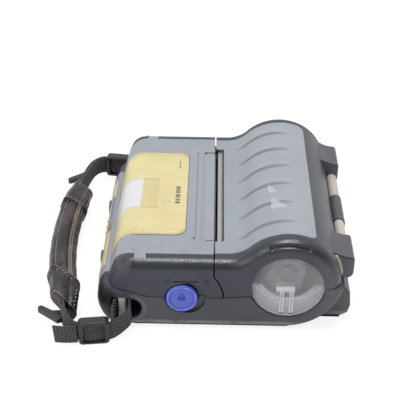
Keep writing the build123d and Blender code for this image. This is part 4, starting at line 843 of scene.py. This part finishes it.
# Bead down the front corner of the casing and the rolled edge of the strap pocket, on each side
RIM_R = 8.35
casing = tree_of("front_casing")
bead = rounded_box(1.1 * MM, 0.8 * MM, 0.35 * MM, 3)
rim = rounded_box(1.0 * MM, 0.6 * MM, 0.28 * MM, 3)
posts = []
for side, name in ((-1, "near"), (1, "far")):
    outward = Vector((0, side, 0))
    posts.append([(-44.9 + x, side * 77.3 + y, 7.4) for x, y in rounded_box(4.8, 4.2, 1.2, 4)])
    corner = []
    for share in marched(0, 1, 24):
        start = Vector((-0.0375 - 0.0062 * share**1.3, side * 0.12, 0.0497 - 0.0205 * share))
        hit = casing.ray_cast(start, -outward)[0]
        if hit is not None:
            corner.append(hit + 0.00012 * outward)
    swept("corner_bead_" + name, corner, bead, outward, ["casing"], "base", "charcoal_casing")
    rolled = []
    for angle in marched(-86, 86, 30):
        across, rise = RIM_R * math.cos(math.radians(angle)), RIM_R * math.sin(math.radians(angle))
        rolled.append(Vector((POCKET[0] + across, side * 80.0, POCKET[1] + rise)) * MM)
    swept("pocket_rim_" + name, rolled, rim, outward, ["casing"], "base", "charcoal_casing")
prisms("lug_posts", posts, (0, 0, 15.4), "lug", "base")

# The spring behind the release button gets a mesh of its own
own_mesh(NODES["button_spring"])

# ---- Strap --------------------------------------------------------------------------------

LUG = (-43.9, 73.0)
LUG_Z = 15.1
BAR_R = 2.3
LAYER = 1.5
BAND = 12.8
APART = 0.84  # from the middle between two layers to the middle of each
PAD_MIDDLE = 14.9
SPLIT_Y = 82.1  # where the loop on the lug ends and the free band starts
BAND_SECTION = rounded_box(LAYER * MM, BAND * MM, 0.6 * MM, 3)
LINING_SECTION = rounded_box(0.9 * MM, (BAND + 0.1) * MM, 0.3 * MM, 2)

# Each layer from its pocket to the buckle, in X and Y, and the share of the drop to it at each place
LEG_IN = ((-49.2, 78.4), (-50.0, 82.4), (-50.2, 86.4), (-50.1, 89.6), (-51.4, 91.6), (-54.2, 92.3))
LEG_OUT = ((-40.5, 77.6), (-39.8, 82.4), (-40.6, 86.6), (-45.4, 90.6), (-50.8, 93.3), (-54.2, 94.0))
LEG_DROP = (0.0, 0.0, 0.25, 0.65, 1.0, 1.0)


def route(side, buckle_z, leg, apart, bulge):
    """Where one layer of the strap runs, from its pocket through the buckle to the grip."""
    drop = buckle_z - LUG_Z
    stations = [(x, side * y, LUG_Z + drop * share) for (x, y), share in zip(leg[1:], LEG_DROP[1:])]
    stations += [
        (-61.3, side * (94.05 + apart + bulge), buckle_z),
        (-69.6, side * (95.1 + apart), buckle_z),
        (-75.3, side * (92.7 + apart), buckle_z + 0.6),
        (-79.7 - 0.6 * apart, side * (87.0 + 0.6 * apart), (buckle_z + PAD_MIDDLE) / 2),
        (-82.2 - apart, side * 79.6, PAD_MIDDLE - (0.7 if side > 0 else 4.4)),
        (-83.6 - apart, side * 71.0, PAD_MIDDLE - (0.0 if side > 0 else 3.6)),
    ]
    if side > 0:
        stations += [(-86.4 - apart, 61.0, PAD_MIDDLE), (-88.6 - apart, 50.0, PAD_MIDDLE)]
    curve = curve_through(stations, 1.0)
    return [place for place in curve if abs(place.y) > (SPLIT_Y + 0.15) * MM or place.x < -0.07]


def webbed(name, line, body):
    return swept(name, line, BAND_SECTION, UP, ["webbing"], body, "strap_webbing")


def joined(name, pieces, body):
    """Several pieces on one body made one."""
    bpy.ops.object.select_all(action="DESELECT")
    for piece in pieces:
        piece.select_set(True)
    bpy.context.view_layer.objects.active = pieces[0]
    bpy.ops.object.join()
    pieces[0].name = name
    return riding(pieces[0], body)


for name, side, buckle_z in (("near", -1, 8.3), ("far", 1, 13.4)):
    outer_line = route(side, buckle_z, LEG_OUT, APART, 1.1)
    inner_line = route(side, buckle_z, LEG_IN, -APART, 0.0)
    layers = [webbed("layer", line, "strap") for line in (outer_line, inner_line)]
    # Pale lining that shows as a thin edge along the underside of the outer layer
    lining_line = [place - UP * 0.45 * MM for place in outer_line[: int(len(outer_line) * 0.30)]]
    layers.append(swept("lining", lining_line, LINING_SECTION, UP, ["lining"], "strap", "strap_webbing"))
    webbing = joined("webbing_band_" + name, layers, "strap")
    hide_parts("webbing_" + name)

RING_R = BAR_R + LAYER / 2
TURN = ((-1, 0.1), (-0.7, 0.72), (0, 1), (0.7, 0.72), (1, 0.1))
RING = [(LUG[0] + RING_R * x, LUG[1] - RING_R * y) for x, y in TURN]
loops = []
for side in (-1, 1):
    stations = list(reversed(LEG_IN[:3])) + RING + list(LEG_OUT[:3])
    line = curve_through([(x, side * y, LUG_Z) for x, y in stations], 0.7)
    loops.append(webbed("loop", [place for place in line if abs(place.y) < (SPLIT_Y - 0.15) * MM], "base"))
webbing_loops = joined("webbing_loops", loops, "base")
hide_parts("strap_loops")

TAIL = ((-71.3, -97.6, 8.2), (-77.0, -97.8, 7.9), (-82.0, -97.3, 7.5), (-85.6, -96.4, 7.2))
tail = webbed("webbing_end", curve_through(TAIL, 1.0), "strap")
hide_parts("webbing_tail")

# ---- Padded grip --------------------------------------------------------------------------

PAD_ARC = 303.0
PAD_OUTER_X = -98.5
PAD_LINE_R = PAD_ARC - 8.8
PAD_TILT = math.radians(22.0)
PAD_BEND = -58.0  # Y past which the near end turns down and in
PAD_ENDS = (-66.0, 52.0)
GRIP_UP = Vector((math.sin(PAD_TILT), 0, math.cos(PAD_TILT)))
GRIP_SIDE = Vector((math.cos(PAD_TILT), 0, -math.sin(PAD_TILT)))

# Width, height and corner radius
PAD_SIZE = (17.6, 11.4, 4.4)
TAB_SIZE = (18.8, 13.2, 3.6)
EDGE_SIZE = (19.3, 13.8, 3.8)

# From and to along Y, their slant and outer end
TABS = ((-74.0, -53.0, 0.75, -74.0), (29.5, 54.0, 0.3, 54.0))


def grip_line(low, high, count):
    """The bowed middle line of the grip between two widths along Y."""
    out = []
    for y in marched(low, high, count):
        past = max(0.0, PAD_BEND - y)
        x = PAD_OUTER_X + PAD_ARC - math.sqrt(PAD_LINE_R**2 - max(y, PAD_BEND) ** 2) + 0.1 * past
        out.append(Vector((x, y, PAD_MIDDLE - 0.014 * past**2)) * MM)
    return out


def dense(section, step):
    """A section with its long sides divided, so that a ridge can stand on them."""
    out = []
    for a, b in zip(section, section[1:] + section[:1]):
        parts = max(1, int(math.dist(a, b) / step))
        for part in range(parts):
            out.append((a[0] + (b[0] - a[0]) * part / parts, a[1] + (b[1] - a[1]) * part / parts))
    return out


def hill(x, middle, width):
    return math.exp(-(((x - middle) / width) ** 2))


def pad_relief(x):
    """Across the top of the pad: a sewn flange, a plump field, a double seam and a second field."""
    flange = -1.2 / (1 + math.exp((x + 5.3) / 0.25))
    fields = 0.8 * hill(x, -1.8, 2.6) + 0.4 * hill(x, 6.8, 1.5)
    seam = 0.5 * hill(x, 2.4, 0.42) + 0.5 * hill(x, 3.9, 0.42)
    return flange + fields + seam - 0.6 * hill(x, 1.4, 0.5) - 0.5 * hill(x, 4.9, 0.45)


def tab_relief(x):
    """Across the top of a tab: what it is folded round shows through."""
    return 0.3 * hill(x, -2.0, 3.0) - 0.35 * hill(x, 1.8, 0.9) + 0.2 * hill(x, 4.0, 1.0)


def crown(x, width):
    return 0.5 * (1 - (2 * x / width) ** 2)


def padded_section(size, relief):
    """Points of a crowned section with a relief along its top, in metres."""
    width, height, round_r = size
    out = []
    for x, y in dense(rounded_box(width, height, round_r, 8), 0.4):
        top = max(0.0, y / (height / 2))
        rise = crown(x, width) + relief(x) * top**3 if y > 0 else -crown(x, width)
        out.append((x * MM, (y + rise) * MM))
    return out


def top_height(size, relief, x):
    """How high the top of such a section stands at a place across it."""
    width, height, round_r = size
    flat = width / 2 - round_r
    drop = round_r - math.sqrt(max(round_r**2 - max(abs(x) - flat, 0.0) ** 2, 0.0))
    top = 1 - drop / (height / 2)
    return height / 2 - drop + crown(x, width) + relief(x) * top**3


def pad_swell(share):
    """The pad is pinched where the tabs are sewn round it, and plump between."""
    ends = min(share, 1 - share) / 0.16
    waves = 0.010 * math.sin(share * 43.0) + 0.007 * math.sin(share * 97.0 + 1.0)
    return 0.95 + 0.04 * min(1.0, ends) + waves


def tab_scale(y, low, high, outer):
    """How the tab narrows towards its outer end."""
    share = abs(y - outer) / (high - low)
    return 0.80 + 0.20 * min(1.0, share / 0.6) - 0.03 * math.sin(min(max(share, 0.0), 1.0) * math.pi)


def on_pad(name, line, section, looks, **shape):
    return swept(name, line, section, GRIP_UP, looks, "strap", "grip_leather", **shape)


pad_section = padded_section(PAD_SIZE, pad_relief)
seam_faces = [1 if v > 0.003 and abs(abs(u - 0.00315) - 0.00075) < 0.0004 else 0 for u, v in pad_section]
HIDES = ["leather", "worn_leather"]
pad_line = grip_line(*PAD_ENDS, 150)
pad = on_pad("padded_grip", pad_line, pad_section, HIDES, section_looks=seam_faces, grow=pad_swell)
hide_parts("grip_pad")

tab_section = padded_section(TAB_SIZE, tab_relief)
edge_section = padded_section(EDGE_SIZE, tab_relief)
tan = [1] * len(edge_section)
tabs = []
for low, high, lean, outer in TABS:
    tabs.append(
        on_pad(
            "tab", grip_line(low, high, 40), tab_section, ["leather"], lean=lean,
            grow=lambda share: tab_scale(low + share * (high - low), low, high, outer),
        )
    )
    # Cut edges, tan where the hide shows, round both ends of the tab
    for edge, inward in ((low, 1), (high, -1)):
        edge_line = grip_line(edge - 0.1 * inward, edge + 0.8 * inward, 4)
        tabs.append(
            on_pad(
                "edge", edge_line, edge_section, HIDES, section_looks=tan, lean=lean,
                grow=lambda share: tab_scale(edge, low, high, outer),
            )
        )
grip_covers = joined("grip_covers", tabs, "strap")
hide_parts("grip_tabs")

# ---- What repeats along a line ------------------------------------------------------------


def build_row():
    """A node group that sets copies of a piece along lines, turned to follow them."""
    tree = bpy.data.node_groups.new("Row along a line", "GeometryNodeTree")
    way = tree.interface
    names = {}
    kinds = {"Geometry": "Geometry", "Spacing": "Float", "Piece": "Object", "Look": "Material"}
    for name, kind in kinds.items():
        socket = way.new_socket(name=name, in_out="INPUT", socket_type="NodeSocket" + kind)
        names[name] = socket.identifier
    way.new_socket(name="Geometry", in_out="OUTPUT", socket_type="NodeSocketGeometry")
    given = tree.nodes.new("NodeGroupInput").outputs
    curve = put(tree, "GeometryNodeMeshToCurve", {"Mesh": given["Geometry"]}).outputs[0]
    wires = {"Curve": curve, "Length": given["Spacing"]}
    places = put(tree, "GeometryNodeCurveToPoints", wires, mode="LENGTH").outputs
    turn = put(tree, "FunctionNodeAlignRotationToVector", {"Vector": places["Tangent"]}, axis="Y").outputs[0]
    model = put(tree, "GeometryNodeObjectInfo", {"Object": given["Piece"]}).outputs["Geometry"]
    wires = {"Points": places["Points"], "Instance": model, "Rotation": turn}
    copies = put(tree, "GeometryNodeInstanceOnPoints", wires).outputs[0]
    real = put(tree, "GeometryNodeRealizeInstances", {0: copies}).outputs[0]
    dressed = put(tree, "GeometryNodeSetMaterial", {"Geometry": real, "Material": given["Look"]}).outputs[0]
    put(tree, "NodeGroupOutput", {0: dressed})
    return tree, names


ROW, ROW_SOCKETS = build_row()


def little(name, size, rounds):
    """A small rounded shape, its length along Y, to be set in a row. No rounds: a four-sided tooth."""
    mesh = bpy.data.meshes.new(name)
    work = bmesh.new()
    if rounds:
        bmesh.ops.create_icosphere(work, subdivisions=rounds, radius=0.5)
    else:
        bmesh.ops.create_cone(work, cap_ends=True, segments=4, radius1=0.5, radius2=0.02, depth=1.0)
    bmesh.ops.scale(work, vec=Vector(size) * MM, verts=work.verts)
    work.to_mesh(mesh)
    work.free()
    for polygon in mesh.polygons:
        polygon.use_smooth = bool(rounds)
    return shown(name, mesh)


def row(name, lines, spacing, shape, look, body):
    """Copies of a small shape along lines, as one plain mesh on a body. The shape itself goes."""
    points, edges = [], []
    for line in lines:
        first = len(points)
        points += [tuple(place) for place in line]
        edges += [(first + index, first + index + 1) for index in range(len(line) - 1)]
    mesh = bpy.data.meshes.new(name + "_lines")
    mesh.from_pydata(points, edges, [])
    carrier = shown(name + "_lines", mesh)
    modifier = carrier.modifiers.new("row", "NODES")
    modifier.node_group = ROW
    modifier[ROW_SOCKETS["Spacing"]] = spacing * MM
    modifier[ROW_SOCKETS["Piece"]] = shape
    modifier[ROW_SOCKETS["Look"]] = LOOKS[look]
    graph = bpy.context.evaluated_depsgraph_get()
    plain = bpy.data.meshes.new_from_object(carrier.evaluated_get(graph), depsgraph=graph)
    carrier.modifiers.remove(modifier)
    bpy.data.objects.remove(carrier)
    bpy.data.objects.remove(shape)
    riding(shown(name, plain), body)


def on_grip(y, across, size, relief, lean=0.0, proud=0.05, scale=1.0):
    """A place on top of the grip or of a tab."""
    middle = grip_line(y, y, 1)[0]
    height = top_height(size, relief, across) * scale + proud
    return middle + (GRIP_SIDE * across * scale + GRIP_UP * height - Vector((0, 1, 0)) * lean * across) * MM


def on_tab(y, across, low, high, lean, outer):
    return on_grip(y, across, TAB_SIZE, tab_relief, lean, scale=tab_scale(y, low, high, outer))


seam_lines = []
for across, proud in ((-6.4, -0.05), (2.4, -0.22), (3.9, -0.22)):
    places = marched(-56.0, 33.0, 90)
    seam_lines.append([on_grip(y, across, PAD_SIZE, pad_relief, proud=proud) for y in places])
for tab in TABS:
    low, high = tab[0] + 2.2, tab[1] - 2.2
    for y in (low, high):
        seam_lines.append([on_tab(y, across, *tab) for across in marched(-7.6, 7.6, 24)])
    for across in (-7.6, 7.6):
        seam_lines.append([on_tab(y, across, *tab) for y in marched(low, high, 20)])
stitch = little("stitch", (0.9, 1.5, 0.45), 1)
row("grip_stitches", seam_lines, 2.7, stitch, "thread", "strap")

# Saw teeth along the tear bar
tooth = little("tooth", (0.9, 0.9, 0.5), 0)
teeth_line = [Vector((16.6, y, 49.8)) * MM for y in marched(-55.4, 55.4, 2)]
row("tear_teeth", [teeth_line], 1.3, tooth, "brown", "cover")

# ---- Camera, floor and light --------------------------------------------------------------

AZIMUTH, ELEVATION, ROLL = (math.radians(v) for v in (0.789, 33.08, 0.5875))
level_back = Vector((math.sin(AZIMUTH), -math.cos(AZIMUTH), 0))
back = level_back * math.cos(ELEVATION) + UP * math.sin(ELEVATION)
across = UP.cross(back).normalized()
upward = back.cross(across)
level_x = across * math.cos(ROLL) + upward * math.sin(ROLL)
level_y = upward * math.cos(ROLL) - across * math.sin(ROLL)
lens = bpy.data.cameras.new("camera")
lens.sensor_width = 36.0
lens.lens = 94.1
lens.clip_end = 20.0
camera = shown("camera", lens)
turn = Matrix((level_x, level_y, back)).transposed().to_4x4()
camera.matrix_world = Matrix.Translation((0.00997, -0.58763, 0.42696)) @ turn
bpy.context.scene.camera = camera
bpy.context.scene.view_settings.view_transform = "Standard"

# The paper glows to the camera, so that it stays white. To the light it is plain white paper
floor_mesh = bpy.data.meshes.new("floor")
floor_mesh.from_pydata([(-6, -6, 0), (6, -6, 0), (6, 6, 0), (-6, 6, 0)], [], [(0, 1, 2, 3)])
floor = shown("floor", floor_mesh)
paper = Look("floor_paper", (0.96, 0.96, 0.96, 1.0), 0.9, Specular_IOR_Level=0.0)
matt = tap(paper.tree, "ShaderNodeBsdfDiffuse", {"Color": (0.22, 0.22, 0.22, 1.0)})
glow = tap(paper.tree, "ShaderNodeEmission", {"Color": (1.0, 1.0, 1.0, 1.0), "Strength": 0.86})
seen_floor = put(paper.tree, "ShaderNodeAddShader", {0: matt, 1: glow})
floor_mesh.materials.append(paper.swap("Is Camera Ray", seen_floor))

# A bright room behind the object and a dim one over and behind the camera
world = bpy.data.worlds.new("studio")
bpy.context.scene.world = world
world.use_nodes = True
sky = world.node_tree
sky.nodes.clear()
rays = put(sky, "ShaderNodeLightPath").outputs
seen = Wire(sky, rays["Is Camera Ray"]).math("MAXIMUM", rays["Is Transmission Ray"])
towards = split(tap(sky, "ShaderNodeTexCoord", out="Generated"))[1]
limits = {"From Min": -0.55, "From Max": 0.35, "To Min": 0.22, "To Max": 0.86}
room = tap(sky, "ShaderNodeMapRange", {"Value": towards, **limits})
fill_light = tap(sky, "ShaderNodeBackground", {"Color": (0.97, 0.985, 1.0, 1), "Strength": room})
backdrop = tap(sky, "ShaderNodeBackground", {"Color": (1, 1, 1, 1), "Strength": 1.0})
both = tap(sky, "ShaderNodeMixShader", {0: seen, 1: fill_light, 2: backdrop})
put(sky, "ShaderNodeOutputWorld", {0: both})


def softbox(name, place, aim, width, height, watts):
    light = bpy.data.lights.new(name, "AREA")
    light.shape = "RECTANGLE"
    light.size, light.size_y = width, height
    light.energy = watts
    facing = (Vector(place) - Vector(aim)).to_track_quat("Z", "Y")
    shown(name, light).matrix_world = Matrix.Translation(place) @ facing.to_matrix().to_4x4()


softbox("overhead", (0.05, -0.14, 1.35), (0, 0, 0.03), 0.7, 0.28, 7.4)
softbox("front_left", (-0.9, -1.0, 0.9), (0, 0, 0.03), 0.8, 0.8, 4.6)
